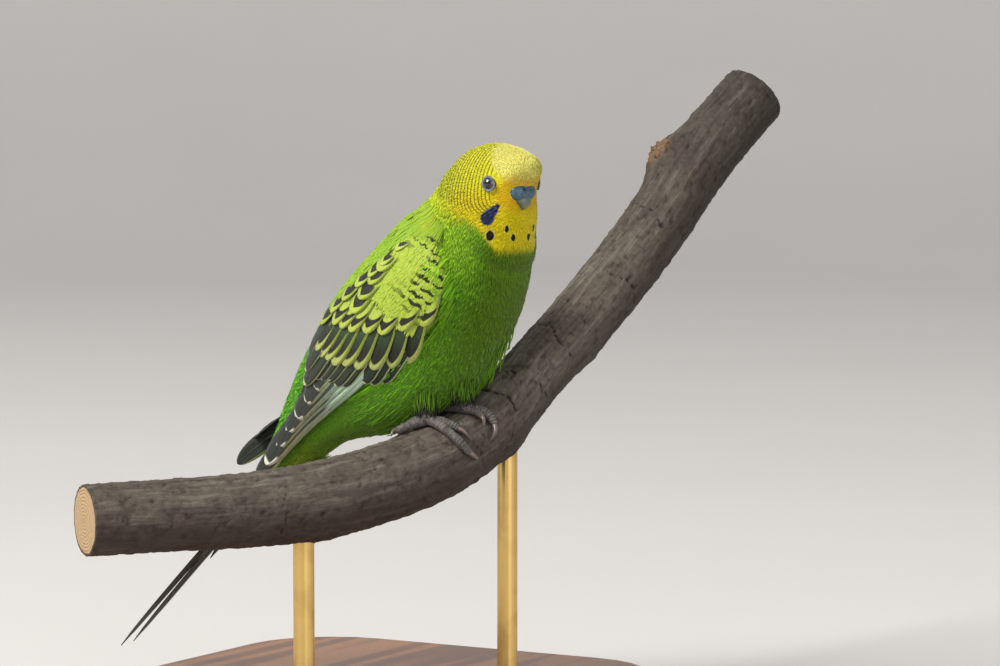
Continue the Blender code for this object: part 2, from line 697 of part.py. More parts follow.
def build_head():
    head = body_length("head", 0, HEAD_END, 16)
    lids, sockets = [], []
    for hand, label in ((-1, "right"), (1, "left")):
        centre, out, surface = eye_place(hand)
        turn = out.to_track_quat("Z", "Y").to_matrix()
        lids.append(lid(f"lid_{label}", surface, turn))
        grown = (EYE_RADIUS + GAP,) * 3
        sockets.append(ball(f"socket_{label}", centre, grown, turn, EYE_SIDES, EYE_RINGS, CUTTERS))
        eye = ball(f"eye_{label}", centre, (EYE_RADIUS,) * 3, turn, EYE_SIDES, EYE_RINGS)
        paint(eye, (0.03, 0.03, 0.035), 0.1)
    combine(head, lids)
    combine(head, sockets, "DIFFERENCE")
    gap = GAP / MM
    face = [
        cere("cere_room", gap, CUTTERS),
        bill("upper_room", UPPER_BILL, gap, CUTTERS),
        bill("lower_room", LOWER_BILL, gap, CUTTERS),
    ]
    combine(head, face, "DIFFERENCE")
    paint(head, (0.80, 0.72, 0.05), 0.8)


def build_face():
    crest = cere("cere")
    nostrils = [
        ball(f"nostril_{hand}", head_point(NOSTRIL_PLACE.x, NOSTRIL_PLACE.y * hand, NOSTRIL_PLACE.z),
             (NOSTRIL_RADIUS,) * 3, None, 8, 6, CUTTERS)
        for hand in (-1, 1)
    ]
    combine(crest, nostrils, "DIFFERENCE")
    paint(crest, (0.10, 0.25, 0.45), 0.45)
    gap = GAP / MM
    upper = bill("bill_upper", UPPER_BILL)
    combine(upper, [cere("cere_gap", gap, CUTTERS)], "DIFFERENCE")
    paint(upper, (0.42, 0.42, 0.28), 0.4)
    lower = bill("bill_lower", LOWER_BILL)
    combine(lower, [bill("upper_gap", UPPER_BILL, gap, CUTTERS)], "DIFFERENCE")
    paint(lower, (0.38, 0.38, 0.26), 0.45)


def build_stand(perch):
    shape = bmesh.new()
    bmesh.ops.create_cube(shape, size=1.0)
    placed = Matrix.Translation((0, 0, BASE_SIZE.z / 2)) @ Matrix.Diagonal((*BASE_SIZE, 1))
    bmesh.ops.transform(shape, verts=shape.verts, matrix=placed)
    corners = [e for e in shape.edges if abs(e.verts[0].co.z - e.verts[1].co.z) > BASE_SIZE.z / 2]
    steps = BASE_CORNER_STEPS
    bmesh.ops.bevel(shape, geom=corners, offset=BASE_CORNER, segments=steps, affect="EDGES", profile=0.5)
    top = [e for e in shape.edges if all(v.co.z > BASE_SIZE.z - 0.01 * MM for v in e.verts)]
    bmesh.ops.bevel(shape, geom=top, offset=BASE_BEVEL, segments=2, affect="EDGES", profile=0.5)
    base = finish(shape, "stand_base")
    seats, holes = [], []
    for k, share in enumerate(ROD_PLACES):
        centre, _, radius = branch_point(share)
        foot_end = Vector((centre.x, centre.y, BASE_SIZE.z - ROD_SEAT))
        head_end = Vector((centre.x, centre.y, centre.z - radius + ROD_SEAT))
        gap = Vector((0, 0, GAP))
        upright = rod(f"stand_rod_{k + 1}", foot_end + gap, head_end - gap, ROD_RADIUS)
        paint(upright, (0.72, 0.58, 0.32), 0.3, 1.0)
        seats.append(rod(f"seat_{k}", foot_end, foot_end + Vector((0, 0, 2 * ROD_SEAT)), ROD_RADIUS + GAP, CUTTERS))
        holes.append(rod(f"hole_{k}", head_end - Vector((0, 0, 4 * ROD_SEAT)), head_end, ROD_RADIUS + GAP, CUTTERS))
    for part, cutters in ((base, seats), (perch, holes)):
        combine(part, cutters, "DIFFERENCE")
    paint(base, (0.30, 0.17, 0.08), 0.45, sharp=25)


def main():
    for old in list(bpy.data.objects):
        bpy.data.objects.remove(old)
    build_head()
    build_face()
    neck = body_length("neck", HEAD_END, NECK_END, 5)
    paint(neck, (0.55, 0.66, 0.06), 0.8)
    perch = branch("perch")
    torso = body_length("torso", NECK_END, TORSO_END, 14)
    gap = GAP / MM
    rooms = [branch("bark_room", gap, CUTTERS)] + [foot(label, gap, CUTTERS) for label in FEET]
    combine(torso, rooms, "DIFFERENCE")
    paint(torso, (0.20, 0.50, 0.04), 0.85)
    for label, side in (("right", -1), ("left", 1)):
        paint(wing(f"wing_{label}", side), (0.30, 0.36, 0.08), 0.7)
    paint(tail(), (0.05, 0.09, 0.08), 0.6)
    for label in FEET:
        paint(foot(label), (0.30, 0.29, 0.33), 0.7)
    build_stand(perch)
    paint(perch, (0.25, 0.21, 0.18), 0.9)


main()
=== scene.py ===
import math

import bmesh
import bpy
import numpy as np
from mathutils import Matrix, Vector, noise


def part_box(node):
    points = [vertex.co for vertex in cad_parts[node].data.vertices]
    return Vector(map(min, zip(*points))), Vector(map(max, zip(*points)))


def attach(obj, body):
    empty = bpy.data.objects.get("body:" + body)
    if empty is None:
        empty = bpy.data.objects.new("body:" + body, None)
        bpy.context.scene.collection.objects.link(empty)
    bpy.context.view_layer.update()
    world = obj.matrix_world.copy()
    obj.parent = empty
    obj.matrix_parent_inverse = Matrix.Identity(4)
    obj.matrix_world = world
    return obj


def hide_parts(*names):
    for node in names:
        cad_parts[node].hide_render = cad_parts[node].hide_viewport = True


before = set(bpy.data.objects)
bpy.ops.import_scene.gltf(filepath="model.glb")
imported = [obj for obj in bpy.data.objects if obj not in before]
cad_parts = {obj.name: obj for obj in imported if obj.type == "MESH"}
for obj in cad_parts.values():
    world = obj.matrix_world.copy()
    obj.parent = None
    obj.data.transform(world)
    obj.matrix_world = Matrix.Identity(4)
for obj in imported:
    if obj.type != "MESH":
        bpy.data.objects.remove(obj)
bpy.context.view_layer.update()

# Places are millimetres from the foothold under the breast, as left, behind and up, until they go into a mesh
mm = 0.001
tailClearance = 82.0  # the foothold's height over the base
foothold = Vector((0.004, -0.038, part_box("stand_base")[1].z + tailClearance * mm))


def rgb(red, green, blue):
    return tuple(c / 12.92 if c < 0.04045 else ((c + 0.055) / 1.055) ** 2.4 for c in (red, green, blue)) + (1.0,)


def unit(vectors):
    return vectors / np.maximum(np.linalg.norm(vectors, axis=-1, keepdims=True), 1e-9)


def dot(a, b):
    return np.sum(a * b, axis=-1)


def smoothStep(low, high, value):
    share = np.clip((np.asarray(value, float) - low) / (high - low), 0, 1)
    return share * share * (3 - 2 * share)


def smoothRows(rows, number):
    rows, number = np.asarray(rows, float), np.asarray(number, float)
    first = np.clip(number.astype(int), 0, len(rows) - 2)
    x = (number - first)[..., None]
    p, q, r, s = (rows[np.clip(first + k, 0, len(rows) - 1)] for k in (-1, 0, 1, 2))
    return 0.5 * (2 * q + (r - p) * x + (2 * p - 5 * q + 4 * r - s) * x**2 + (3 * q - p - 3 * r + s) * x**3)


def column(rows, value, k=1):
    rows = np.asarray(rows, float)
    return np.interp(value, rows[:, 0], rows[:, k])


# Bird's outline

body = {
    # forward, up, tilt, half width, depth to the back and to the belly, exponent of the outline
    "sections": (
        (29.4, 72.2, 0, 3.0, 2.6, 2.0, 2.0), (28.4, 71.2, 0, 6.0, 4.7, 4.0, 2.0),
        (26.2, 69.2, 3, 8.3, 8.0, 7.2, 2.0), (23.9, 67.4, 12, 10.2, 11.4, 11.2, 2.0),
        (20.2, 66.6, 20, 11.5, 13.5, 16.2, 2.0), (15.8, 64.9, 28, 13.3, 14.8, 19.8, 2.0),
        (12.3, 61.1, 36, 15.2, 15.6, 20.6, 2.1), (9.4, 56.0, 43, 16.6, 16.4, 19.6, 2.1),
        (6.4, 50.2, 47, 17.8, 18.2, 20.6, 2.1), (1.8, 43.4, 48, 19.6, 20.0, 22.8, 2.1),
        (-5.4, 34.0, 47, 21.2, 21.6, 24.8, 2.1), (-14.6, 23.6, 45, 21.6, 22.5, 25.8, 2.1),
        (-24.8, 13.4, 43, 19.8, 21.3, 23.0, 2.1), (-35.0, 4.4, 42, 16.0, 19.0, 17.2, 2.1),
        (-44.0, -3.0, 42, 11.6, 14.8, 11.8, 2.1), (-53.0, -11.2, 43, 7.8, 9.6, 7.8, 2.1),
        (-61.0, -19.0, 44, 5.2, 5.2, 5.0, 2.1), (-67.0, -25.0, 44, 3.0, 2.4, 2.8, 2.1),
    ),
    "headTurn": 15.0, "turnFrom": 9.0, "turnTo": 5.0, "turnPivot": 6.0,
    "hollow": (26.0, 8.0, 64.4), "hollowDepth": 2.4, "hollowReach": 5.5,
    "lastSection": 17.0, "shoulder": 7.0,
}


def turnAngle(section):
    return -math.radians(body["headTurn"]) * smoothStep(body["turnFrom"], body["turnTo"], section)


def turned(points, angle):
    x, y = points[..., 0], points[..., 1] + body["turnPivot"]
    cosine, sine = np.cos(angle), np.sin(angle)
    return np.stack([x * cosine - y * sine, x * sine + y * cosine - body["turnPivot"], points[..., 2]], axis=-1)


def headPoint(forward, left, up):
    return turned(np.array([left, -forward, up], float), turnAngle(0))


def bodyFrame(section):
    section = np.asarray(section, float)
    rows = smoothRows(body["sections"], section)
    tilt, angle = np.radians(rows[..., 2]), turnAngle(section)
    zero = np.zeros_like(tilt)
    centre = turned(np.stack([zero, -rows[..., 0], rows[..., 1]], axis=-1), angle)
    side = np.stack([np.cos(angle), np.sin(angle), zero], axis=-1)
    dorsal = np.stack([-np.sin(angle) * np.sin(tilt), np.cos(angle) * np.sin(tilt), np.cos(tilt)], axis=-1)
    return centre, side, dorsal, rows[..., 3:]


def outline(section, degrees, lift=0.0, sizes=None):
    centre, side, dorsal, own = bodyFrame(section)
    sizes = own if sizes is None else sizes
    cosine, sine = np.cos(np.radians(degrees)), np.sin(np.radians(degrees))
    power = 2 / sizes[..., 3]
    across = np.sign(cosine) * np.abs(cosine) ** power * (sizes[..., 0] + lift)
    depth = np.where(sine > 0, sizes[..., 1], sizes[..., 2])
    over = np.sign(sine) * np.abs(sine) ** power * (depth + lift)
    return centre + side * across[..., None] + dorsal * over[..., None]


def flesh(section, degrees, lift=0.0):
    points = outline(section, degrees, lift)
    inwards = unit(bodyFrame(section)[0] - points)
    forward, left, up = body["hollow"]
    for hand in (-1, 1):
        away = np.linalg.norm(points - headPoint(forward, left * hand, up), axis=-1)
        points = points + inwards * (body["hollowDepth"] * np.exp(-((away / body["hollowReach"]) ** 2)))[..., None]
    return points


# Branch's centre line

branch = {
    "line": (
        (-103, 57, -23.5, 9.9), (-85, 44, -23.3, 10.0), (-63, 29.5, -23.0, 10.5), (-44, 18, -21.4, 11.0),
        (-22.5, 8.3, -17.4, 11.2), (-3, 1.0, -11.4, 11.2), (13.5, -3.8, -3.1, 10.4), (33.6, -8.9, 11.8, 9.6),
        (56, -17, 31.1, 9.9), (76, -24, 50.8, 10.1), (95.5, -31, 73.0, 10.1), (116, -38.5, 92.0, 10.2),
    ),
    "length": 279.9,
    # share of the length, angle, height and reach in mm, spread in degrees
    "knots": (
        (0.885, 112, 4.2, 5.5, 34), (0.92, 60, 1.2, 6.0, 60), (0.545, -70, 1.3, 5.5, 45),
        (0.27, -100, 0.7, 8.0, 50), (0.68, -60, 0.8, 5.0, 40),
    ),
}


def branchFrame(share):
    line = branch["line"]
    number = np.asarray(share, float) * (len(line) - 1)
    rows = smoothRows(line, number)
    along = unit(smoothRows(line, number + 0.02)[..., :3] - smoothRows(line, number - 0.02)[..., :3])
    front = unit(np.cross(np.broadcast_to([0.0, 0.0, 1.0], along.shape), along))
    front = np.where(front[..., 1:2] > 0, -front, front)
    top = np.cross(along, front)
    top = np.where(top[..., 2:3] < 0, -top, top)
    return rows[..., :3], along, front, top, rows[..., 3]


def barkPoint(share, degrees, lift=0.0):
    centre, _, front, top, radius = branchFrame(share)
    angle = np.radians(degrees)[..., None]
    return centre + (front * np.cos(angle) + top * np.sin(angle)) * (radius + lift)[..., None]


def knotSwell(share, degrees):
    swell = 0.0
    for where, angle, height, reach, spread in branch["knots"]:
        off = (degrees - angle + 180) % 360 - 180
        swell = swell + height * np.exp(-(((share - where) * branch["length"] / reach) ** 2) - (off / spread) ** 2)
    return swell


def clearOfBranch(points, gap=0.3):
    shares = np.linspace(0.2, 0.8, 240)
    centre, along, _, _, radius = branchFrame(shares)
    moved = points.reshape(-1, 3).copy()
    for k, point in enumerate(moved):
        away = point - centre
        near = int(np.argmin(dot(away, away)))
        radial = away[near] - along[near] * dot(away[near], along[near])
        distance = np.linalg.norm(radial)
        if distance < radius[near] + gap:
            moved[k] += radial / max(distance, 0.01) * (radius[near] + gap - distance)
    return moved.reshape(points.shape)


# Meshes

def setAttribute(mesh, name, kind, values):
    field = {"FLOAT": "value", "FLOAT_VECTOR": "vector", "FLOAT_COLOR": "color"}[kind]
    made = mesh.attributes.get(name) or mesh.attributes.new(name, kind, "POINT")
    made.data.foreach_set(field, np.ascontiguousarray(values, np.float32).ravel())


def getVectors(mesh, name):
    values = np.zeros(len(mesh.vertices) * 3, np.float32)
    mesh.attributes[name].data.foreach_get("vector", values)
    return values.reshape(-1, 3)


def setMap(mesh, corners):
    layer = mesh.uv_layers.new(name="OFBake")
    layer.data.foreach_set("uv", np.ascontiguousarray(corners, np.float32).ravel())


def mapByVertex(mesh, places):
    corners = np.zeros(len(mesh.loops), np.int32)
    mesh.loops.foreach_get("vertex_index", corners)
    setMap(mesh, places[corners])


def addObject(name, data):
    made = bpy.data.objects.new(name, data)
    bpy.context.scene.collection.objects.link(made)
    return made


def turnOutwards(mesh):
    shape = bmesh.new()
    shape.from_mesh(mesh)
    bmesh.ops.recalc_face_normals(shape, faces=shape.faces)
    shape.to_mesh(mesh)
    shape.free()


def gridFaces(rings, sides, start=0, closed=False):
    k, j = np.meshgrid(np.arange(rings - 1 + closed), np.arange(sides), indexing="ij")
    m, n = (k + 1) % rings, (j + 1) % sides
    quads = np.stack([k * sides + j, k * sides + n, m * sides + n, m * sides + j], axis=-1)
    return (quads.reshape(-1, 4) + start).tolist()


def loftFaces(rings, sides, start=0):
    last = start + (rings - 1) * sides
    ends = [list(range(start, start + sides))[::-1], list(range(last, last + sides))]
    return gridFaces(rings, sides, start) + ends


def makePiece(name, points, faces, material, attributes=(), corners=None):
    mesh = bpy.data.meshes.new(name)
    world = np.asarray(points, float).reshape(-1, 3) * mm + np.array(foothold)
    mesh.from_pydata(world.tolist(), [], faces)
    for attribute, kind, values in attributes:
        setAttribute(mesh, attribute, kind, values)
    if corners is not None:
        setMap(mesh, corners)
    piece = addObject(name, mesh)
    mesh.materials.append(material)
    mesh.shade_smooth()
    turnOutwards(mesh)
    return piece


def makeLoft(name, rings, material, attributes=()):
    return makePiece(name, rings, loftFaces(*rings.shape[:2]), material, attributes)


def makeClosedLoft(name, loops, material):
    return makePiece(name, loops, gridFaces(*loops.shape[:2], closed=True), material)


def settle(piece, slot, *nodes):
    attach(piece, "root")
    if nodes:
        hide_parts(*nodes)


# Shader and geometry graphs

class Graph:
    def __init__(self, tree):
        self.tree = tree

    def node(self, kind, settings=None, sockets=None):
        made = self.tree.nodes.new(kind)
        for name, value in (settings or {}).items():
            setattr(made, name, value)
        for name, value in (sockets or {}).items():
            self.feed(made.inputs[name], value)
        return made

    def feed(self, socket, value):
        value = getattr(value, "socket", value)
        if isinstance(value, bpy.types.NodeSocket):
            self.tree.links.new(value, socket)
        else:
            socket.default_value = value

    def number(self, socket):
        return Number(self, socket)

    def split(self, vector):
        return [self.number(part) for part in self.node("ShaderNodeSeparateXYZ", None, {0: vector}).outputs]

    def joined(self, *parts):
        return self.node("ShaderNodeCombineXYZ", None, dict(enumerate(parts))).outputs[0]

    def vector(self, operation, *values):
        made = self.node("ShaderNodeVectorMath", {"operation": operation}, dict(enumerate(values)))
        scalar = operation in ("LENGTH", "DOT_PRODUCT")
        return self.number(made.outputs["Value"]) if scalar else made.outputs[0]


class Number:
    def __init__(self, graph, socket):
        self.graph, self.socket = graph, socket

    def maths(self, operation, *values):
        made = self.graph.node("ShaderNodeMath", {"operation": operation}, dict(enumerate(values)))
        return Number(self.graph, made.outputs[0])

    def __add__(self, other):
        return self.maths("ADD", self, other)

    def __sub__(self, other):
        return self.maths("SUBTRACT", self, other)

    def __rsub__(self, other):
        return self.maths("SUBTRACT", other, self)

    def __mul__(self, other):
        return self.maths("MULTIPLY", self, other)

    def __truediv__(self, other):
        return self.maths("DIVIDE", self, other)

    def __pow__(self, other):
        return self.maths("POWER", self, other)

    def __abs__(self):
        return self.maths("ABSOLUTE", self)

    __radd__, __rmul__ = __add__, __mul__

    def sine(self):
        return self.maths("SINE", self)

    def fract(self):
        return self.maths("FRACT", self)

    def whole(self):
        return self.maths("FLOOR", self)

    def most(self, other):
        return self.maths("MAXIMUM", self, other)

    def least(self, other):
        return self.maths("MINIMUM", self, other)

    def step(self, low, high):
        settings = {"interpolation_type": "SMOOTHSTEP"}
        made = self.graph.node("ShaderNodeMapRange", settings, {"Value": self, "From Min": low, "From Max": high})
        return Number(self.graph, made.outputs[0])


class Finish(Graph):
    def __init__(self, name, **constants):
        self.material = bpy.data.materials.new(name)
        self.material.use_nodes = True
        super().__init__(self.material.node_tree)
        self.shader = self.tree.nodes["Principled BSDF"]
        for socket, value in constants.items():
            self.shader.inputs[socket.replace("_", " ")].default_value = value

    def read(self, name):
        return self.node("ShaderNodeAttribute", {"attribute_name": name}).outputs

    def value(self, name):
        return self.number(self.read(name)["Fac"])

    def objectPlace(self):
        return self.node("ShaderNodeTexCoord").outputs["Object"]

    def stretched(self, *sizes):
        return self.vector("MULTIPLY", self.objectPlace(), sizes)

    def noise(self, scale, detail=2.0, where=None, roughness=0.5, distortion=0.0):
        sockets = {"Vector": where or self.objectPlace(), "Scale": scale, "Detail": detail}
        sockets.update({"Roughness": roughness, "Distortion": distortion})
        return self.number(self.node("ShaderNodeTexNoise", None, sockets).outputs["Fac"])

    def mix(self, share, first, second):
        return self.node("ShaderNodeMix", {"data_type": "RGBA"}, {0: share, 6: first, 7: second}).outputs[2]

    def bright(self, colour, value):
        return self.node("ShaderNodeHueSaturation", None, {"Color": colour, "Value": value}).outputs[0]

    def bump(self, height, distance, strength=1.0):
        sockets = {"Height": height, "Distance": distance, "Strength": strength}
        return self.node("ShaderNodeBump", None, sockets).outputs[0]

    def done(self, colour=None, roughness=None, normal=None):
        for socket, value in (("Base Color", colour), ("Roughness", roughness), ("Normal", normal)):
            if value is not None:
                self.feed(self.shader.inputs[socket], value)
        return self.material


# Plumage: markings by place on the unturned bird, as forward, left and up

markings = {
    # the pale cap lies past this line of forward and up
    "cap": (0.834, 0.551, 59.4), "capEdge": (-0.8, 0.8), "barsEdge": (0.4, -1.2),
    # centres and radii
    "spots": (((22.4, 9.3, 52.9), (1.2, 1.2, 1.5)), ((25.3, 5.4, 54.8), (0.65, 0.6, 1.15)),
              ((25.5, 3.1, 52.3), (0.75, 0.75, 1.05))),
    "patchTop": (24.2, 8.1, 61.3), "patchLow": (22.1, 10.2, 57.9), "patchRadii": (0.85, 2.0),
    # bars: their step and its growth, the centre of the rows round the bill and where they turn over the nape
    "barStep": 0.72, "barGrowth": 0.018, "barCentre": (25.6, 65.5), "napeTurn": (18.0, 34.0),
    "crownLine": (78.0, 0.86, 0.5), "squash": (66.0, 58.0), "barsFade": (20, 44), "barsFrom": (45.0, 56.0),
    # the lower edge of the yellow, as forward and up, and its softness
    "bib": ((-2, 60.5), (5, 60.0), (13, 59.4), (17.7, 58.0), (20, 56.4), (21.6, 53.4), (23, 49.6)),
    "bibSoft": ((8, 5.0), (18, 1.6)),
    # the bill's base, and how far the painted shade round it reaches
    "billBase": (26.5, 3.0, 65.0), "billShadeReach": (6.5, 3.0),
}
plumageTints = {
    "capYellow": rgb(0.85, 0.83, 0.42), "crown": rgb(0.86, 0.86, 0.13), "cheek": rgb(0.86, 0.79, 0.01),
    # The ochre is painted shade: the yellow darkened round the bill base, in the hollow beside the cere and bill
    "billShadeOchre": rgb(0.82, 0.63, 0.01), "nape": rgb(0.84, 0.90, 0.20), "lime": rgb(0.61, 0.79, 0.14),
    # front is painted shade: a darker olive on the body's lower front and underside, which face away from the light
    "breast": rgb(0.36, 0.59, 0.03), "front": rgb(0.34, 0.48, 0.01), "belly": rgb(0.35, 0.54, 0.05),
    # flank is painted light: a brighter green band along the lower sides
    "flank": rgb(0.48, 0.77, 0.13), "vent": rgb(0.50, 0.64, 0.12), "rump": rgb(0.48, 0.78, 0.22),
    "rust": rgb(0.58, 0.42, 0.10),
    "bar": rgb(0.30, 0.28, 0.04), "spot": rgb(0.07, 0.07, 0.05), "spotRim": rgb(0.88, 0.84, 0.36),
    "patch": rgb(0.08, 0.10, 0.24), "patchStreak": rgb(0.22, 0.30, 0.52),
}


def ownPlace(points, section):
    flat = turned(points, -turnAngle(section))
    return np.stack([-flat[..., 1], flat[..., 0], flat[..., 2]], axis=-1)


def pastCap(forward, up, low, high):
    a, b, edge = markings["cap"]
    return smoothStep(low, high, a * forward + b * up - edge)


def barring(place):
    # Rows round the bill that turn into straight rows over the nape
    forward, left, up = place[..., 0], place[..., 1], place[..., 2]
    squash = 0.45 + 0.55 * smoothStep(*markings["squash"], up)
    ahead, high = markings["barCentre"]
    fromBill = np.sqrt((forward - ahead) ** 2 + (squash * (up - high)) ** 2 + 0.2 * left**2)
    far, byForward, byUp = markings["crownLine"]
    fromCrown = far - byForward * forward - byUp * up
    share = smoothStep(*markings["napeTurn"], fromBill)
    row = fromBill * (1 - share) + fromCrown * share
    growth = markings["barGrowth"]
    cycle = np.log1p(np.maximum(row, 0) * growth / markings["barStep"]) / growth
    behindEye = np.maximum(smoothStep(23.6, 21.6, forward), smoothStep(69.0, 71.0, up))
    aboveBib = smoothStep(0.0, 2.0, (up - 57.6) - 0.32 * np.maximum(21.5 - forward, 0))
    fade = (1 - 0.75 * smoothStep(*markings["barsFade"], row)) * smoothStep(*markings["barsFrom"], up)
    return cycle, pastCap(forward, up, *markings["barsEdge"]) * behindEye * aboveBib * fade


def layered(base, *layers):
    tint = base
    for name, share in layers:
        tint = tint + (np.array(plumageTints[name]) - tint) * share[..., None]
    return tint


def plumageTint(place, section, degrees):
    # Each layer covers the ones before it. Its ranges are in mm, in sections, or in the sine of the angle
    forward, left, up = place[..., 0], np.abs(place[..., 1]), place[..., 2]
    above = np.sin(np.radians(degrees))
    ahead, aside, high = markings["billBase"]
    nearBill = np.sqrt((forward - ahead) ** 2 + (up - high) ** 2 + 0.6 * (left - aside) ** 2)
    whole = np.zeros(place.shape[:-1] + (4,))
    yellow = layered(
        whole + plumageTints["crown"],
        ("capYellow", pastCap(forward, up, *markings["capEdge"])),
        ("cheek", smoothStep(69, 63, up) * smoothStep(8, 18, forward)),
        # painted shade: ochre round the bill base
        ("billShadeOchre", 0.7 * smoothStep(*markings["billShadeReach"], nearBill)),
        ("nape", smoothStep(13.0, 4.0, forward) * smoothStep(4.5, 6.5, section)))
    green = layered(
        whole + plumageTints["breast"],
        # painted shade: the lower front and underside darkened to olive
        ("front", smoothStep(-0.45, -0.85, above)),
        ("lime", smoothStep(-0.45, 0.1, above) * smoothStep(11.0, 8.0, section)),
        ("lime", smoothStep(-0.8, -0.2, above) * smoothStep(9.2, 7.0, section) * 0.8))
    underBib = (up - column(markings["bib"], forward)) / column(markings["bibSoft"], forward)
    return layered(
        yellow + (green - yellow) * smoothStep(0.9, -1.1, underBib)[..., None],
        ("belly", smoothStep(9.0, 11.0, section) * smoothStep(0.2, -0.4, above)),
        # painted light: a brighter band along the lower flanks
        ("flank", smoothStep(9.0, 11.5, section) * np.exp(-(((above + 0.45) / 0.3) ** 2)) * 0.8),
        ("vent", smoothStep(13.6, 15.0, section) * smoothStep(-0.1, -0.6, above)),
        ("rust", smoothStep(15.2, 15.9, section) * smoothStep(-0.2, -0.7, above) * 0.8),
        ("rump", smoothStep(10.5, 12.5, section) * smoothStep(-0.2, 0.3, above)))


def plumageFinish(name="plumage", marks=None):
    finish = Finish(name, Roughness=0.65, Sheen_Weight=0.06, Sheen_Roughness=0.4, Specular_IOR_Level=0.22)
    vary, along = finish.value("vary"), finish.value("along")
    place = finish.vector("ABSOLUTE", finish.read("place")["Vector"])
    # Brightness varies at random for each tuft and rises from root to tip, painted shade among the roots
    colour = finish.bright(finish.read("tint")["Color"], 0.91 + vary * 0.11 + along * 0.07)
    wave = (finish.value("cycle") * (2 * math.pi) + vary * 0.5 + finish.noise(700.0) * 0.9).sine()
    colour = finish.mix(wave.step(0.05, 0.95) * finish.value("bars") * 0.8, colour, plumageTints["bar"])
    if marks:
        colour = marks(finish, colour, vary)
    for centre, radii in markings["spots"]:
        offset = finish.vector("DIVIDE", finish.vector("SUBTRACT", place, centre), radii)
        distance = finish.vector("LENGTH", offset) + (vary - 0.5) * 0.16
        colour = finish.mix((1 - distance.step(1.15, 1.55)) * 0.7, colour, plumageTints["spotRim"])
        colour = finish.mix(1 - distance.step(0.88, 1.08), colour, plumageTints["spot"])
    # The cheek patch: all within a radius that grows from its top to its low end
    top, low = (Vector(markings[name]) for name in ("patchTop", "patchLow"))
    axis = low - top
    offset = finish.vector("SUBTRACT", place, tuple(top))
    share = (finish.vector("DOT_PRODUCT", offset, tuple(axis)) / axis.length_squared).most(0.0).least(1.0)
    onAxis = finish.vector("MULTIPLY", tuple(axis), share)
    gap = finish.vector("LENGTH", finish.vector("SUBTRACT", offset, onAxis))
    thin, thick = markings["patchRadii"]
    inside = share * (thick - thin) + thin - gap + (vary - 0.5) * 0.5
    streaks = finish.mix(vary.step(0.55, 0.8), plumageTints["patch"], plumageTints["patchStreak"])
    return finish.done(finish.mix(inside.step(-0.25, 0.2), colour, streaks))


plumage = plumageFinish()

# Skin under the coat

skinSettings = {
    "rings": 190, "sides": 128, "capRise": 1.1, "capAngles": (30, 60, 86),
    "ventHollow": (2.6, 13.7, 1.2),  # depth, section and reach
    "eyeBare": (1.6, 2.0), "eyeShort": (2.0, 6.0), "billShort": (4.0, 9.0), "cereBare": (0.95, 1.15),
    "sink": ((0, 0.35), (2, 0.4), (4, 0.55), (7, 0.9), (9, 1.1), (14, 1.0), (16, 0.5), (17, 0.4)),
    # section, tuft length, width, tufts per square mm
    "coat": ((0, 1.1, 0.26, 11), (2, 1.2, 0.28, 11), (4, 1.6, 0.32, 9.5), (6, 2.2, 0.36, 8), (8, 2.9, 0.40, 7),
             (12, 3.4, 0.42, 6.5), (15, 3.6, 0.42, 7), (17, 4.2, 0.40, 8)),
}
eye = {
    "section": 3.4, "degrees": 3.3, "radius": 2.3, "depth": 1.55, "rings": 52, "sides": 56,
    "cornea": (0.05, 0.55),  # how much it swells as a share of the radius, and how far from the axis in radians
    "lid": 1.77, "lidHeight": 0.12, "lidThickness": 0.28, "lidSides": (72, 16), "lidOval": (0.96, 0.10),
    "lidSection": (1.15, 0.85), "lidFolds": ((0.10, 17, 0), (0.06, 29, 1)),
}
cere = {
    "place": (25.6, 0.0, 65.3), "lobe": (3.3, 2.9, 2.8), "spread": 1.65, "blend": 5, "grow": 0.04,
    "nostril": (28.5, 1.35, 66.3), "nostrilRadius": 0.42, "nostrilDepth": 0.8,
    "rim": (0.9, 0.35, 0.08),  # the nostril's raised rim: radius, reach and height
    "bare": (4.4, 3.2, 2.3), "rows": 56, "sides": 80, "search": (0.2, 6.5, 330),
}


def eyePlace(hand):
    degrees = eye["degrees"] if hand > 0 else 180 - eye["degrees"]
    surface, back, above = (flesh(np.array(eye["section"] + a), np.array(degrees + b * hand))
                            for a, b in ((0, 0), (0.1, 0), (0, 2)))
    out = unit(np.cross(back - surface, above - surface))
    out = out * np.sign(dot(out, surface - bodyFrame(eye["section"])[0]))
    return surface, back, out


wing = {
    "standOff": (2.4, 1.2, 2.4),
    # half width and depth of the outline past the body's end, by section
    "ends": {13: (18.0, 19.6), 14: (14.2, 15.4), 15: (10.8, 10.8), 16: (8.4, 7.4), 17: (6.6, 5.4)},
    "rimDrop": 2.1,
    # distance along the wing, low and high degrees
    "rim": (
        (6, 2, 52), (12, -20, 66), (20, -29, 70), (30, -25, 71), (40, -21, 70), (50, -18, 66), (60, -15, 52),
        (68, -12, 36), (78, -8, 26), (90, -5, 22), (98, 0, 20),
    ),
    "leftTipShift": (-6.0, 11.0, 7.0), "leftTipFrom": 50, "leftTipTo": 106,
    "coreRings": 40, "coreSides": 17, "coreDepth": 3.2, "coreThickness": 0.9, "coreSink": 0.7,
}


def wingTables():
    rows = np.array(body["sections"], float)[:, 3:]
    rows[:, :3] += wing["standOff"]
    for section, (width, back) in wing["ends"].items():
        rows[section][:3] = width, back, width
    sections = np.arange(body["shoulder"], body["lastSection"] + 0.05, 0.1)
    centres = bodyFrame(sections)[0]
    walked = np.concatenate([[0], np.cumsum(np.linalg.norm(np.diff(centres, axis=0), axis=-1))])
    return rows, sections, walked


wingRows, wingSections, wingWalk = wingTables()


def rimAt(distance, rim=wing["rim"]):
    return column(rim, distance, 1), column(rim, distance, 2)


def wingSink(distance, degrees):
    low, high = rimAt(distance)
    across = np.abs(2 * (degrees - low) / (high - low) - 1)
    return wing["rimDrop"] * np.maximum(np.minimum(across, 1.3) ** 4, 1 - smoothStep(2, 18, distance))


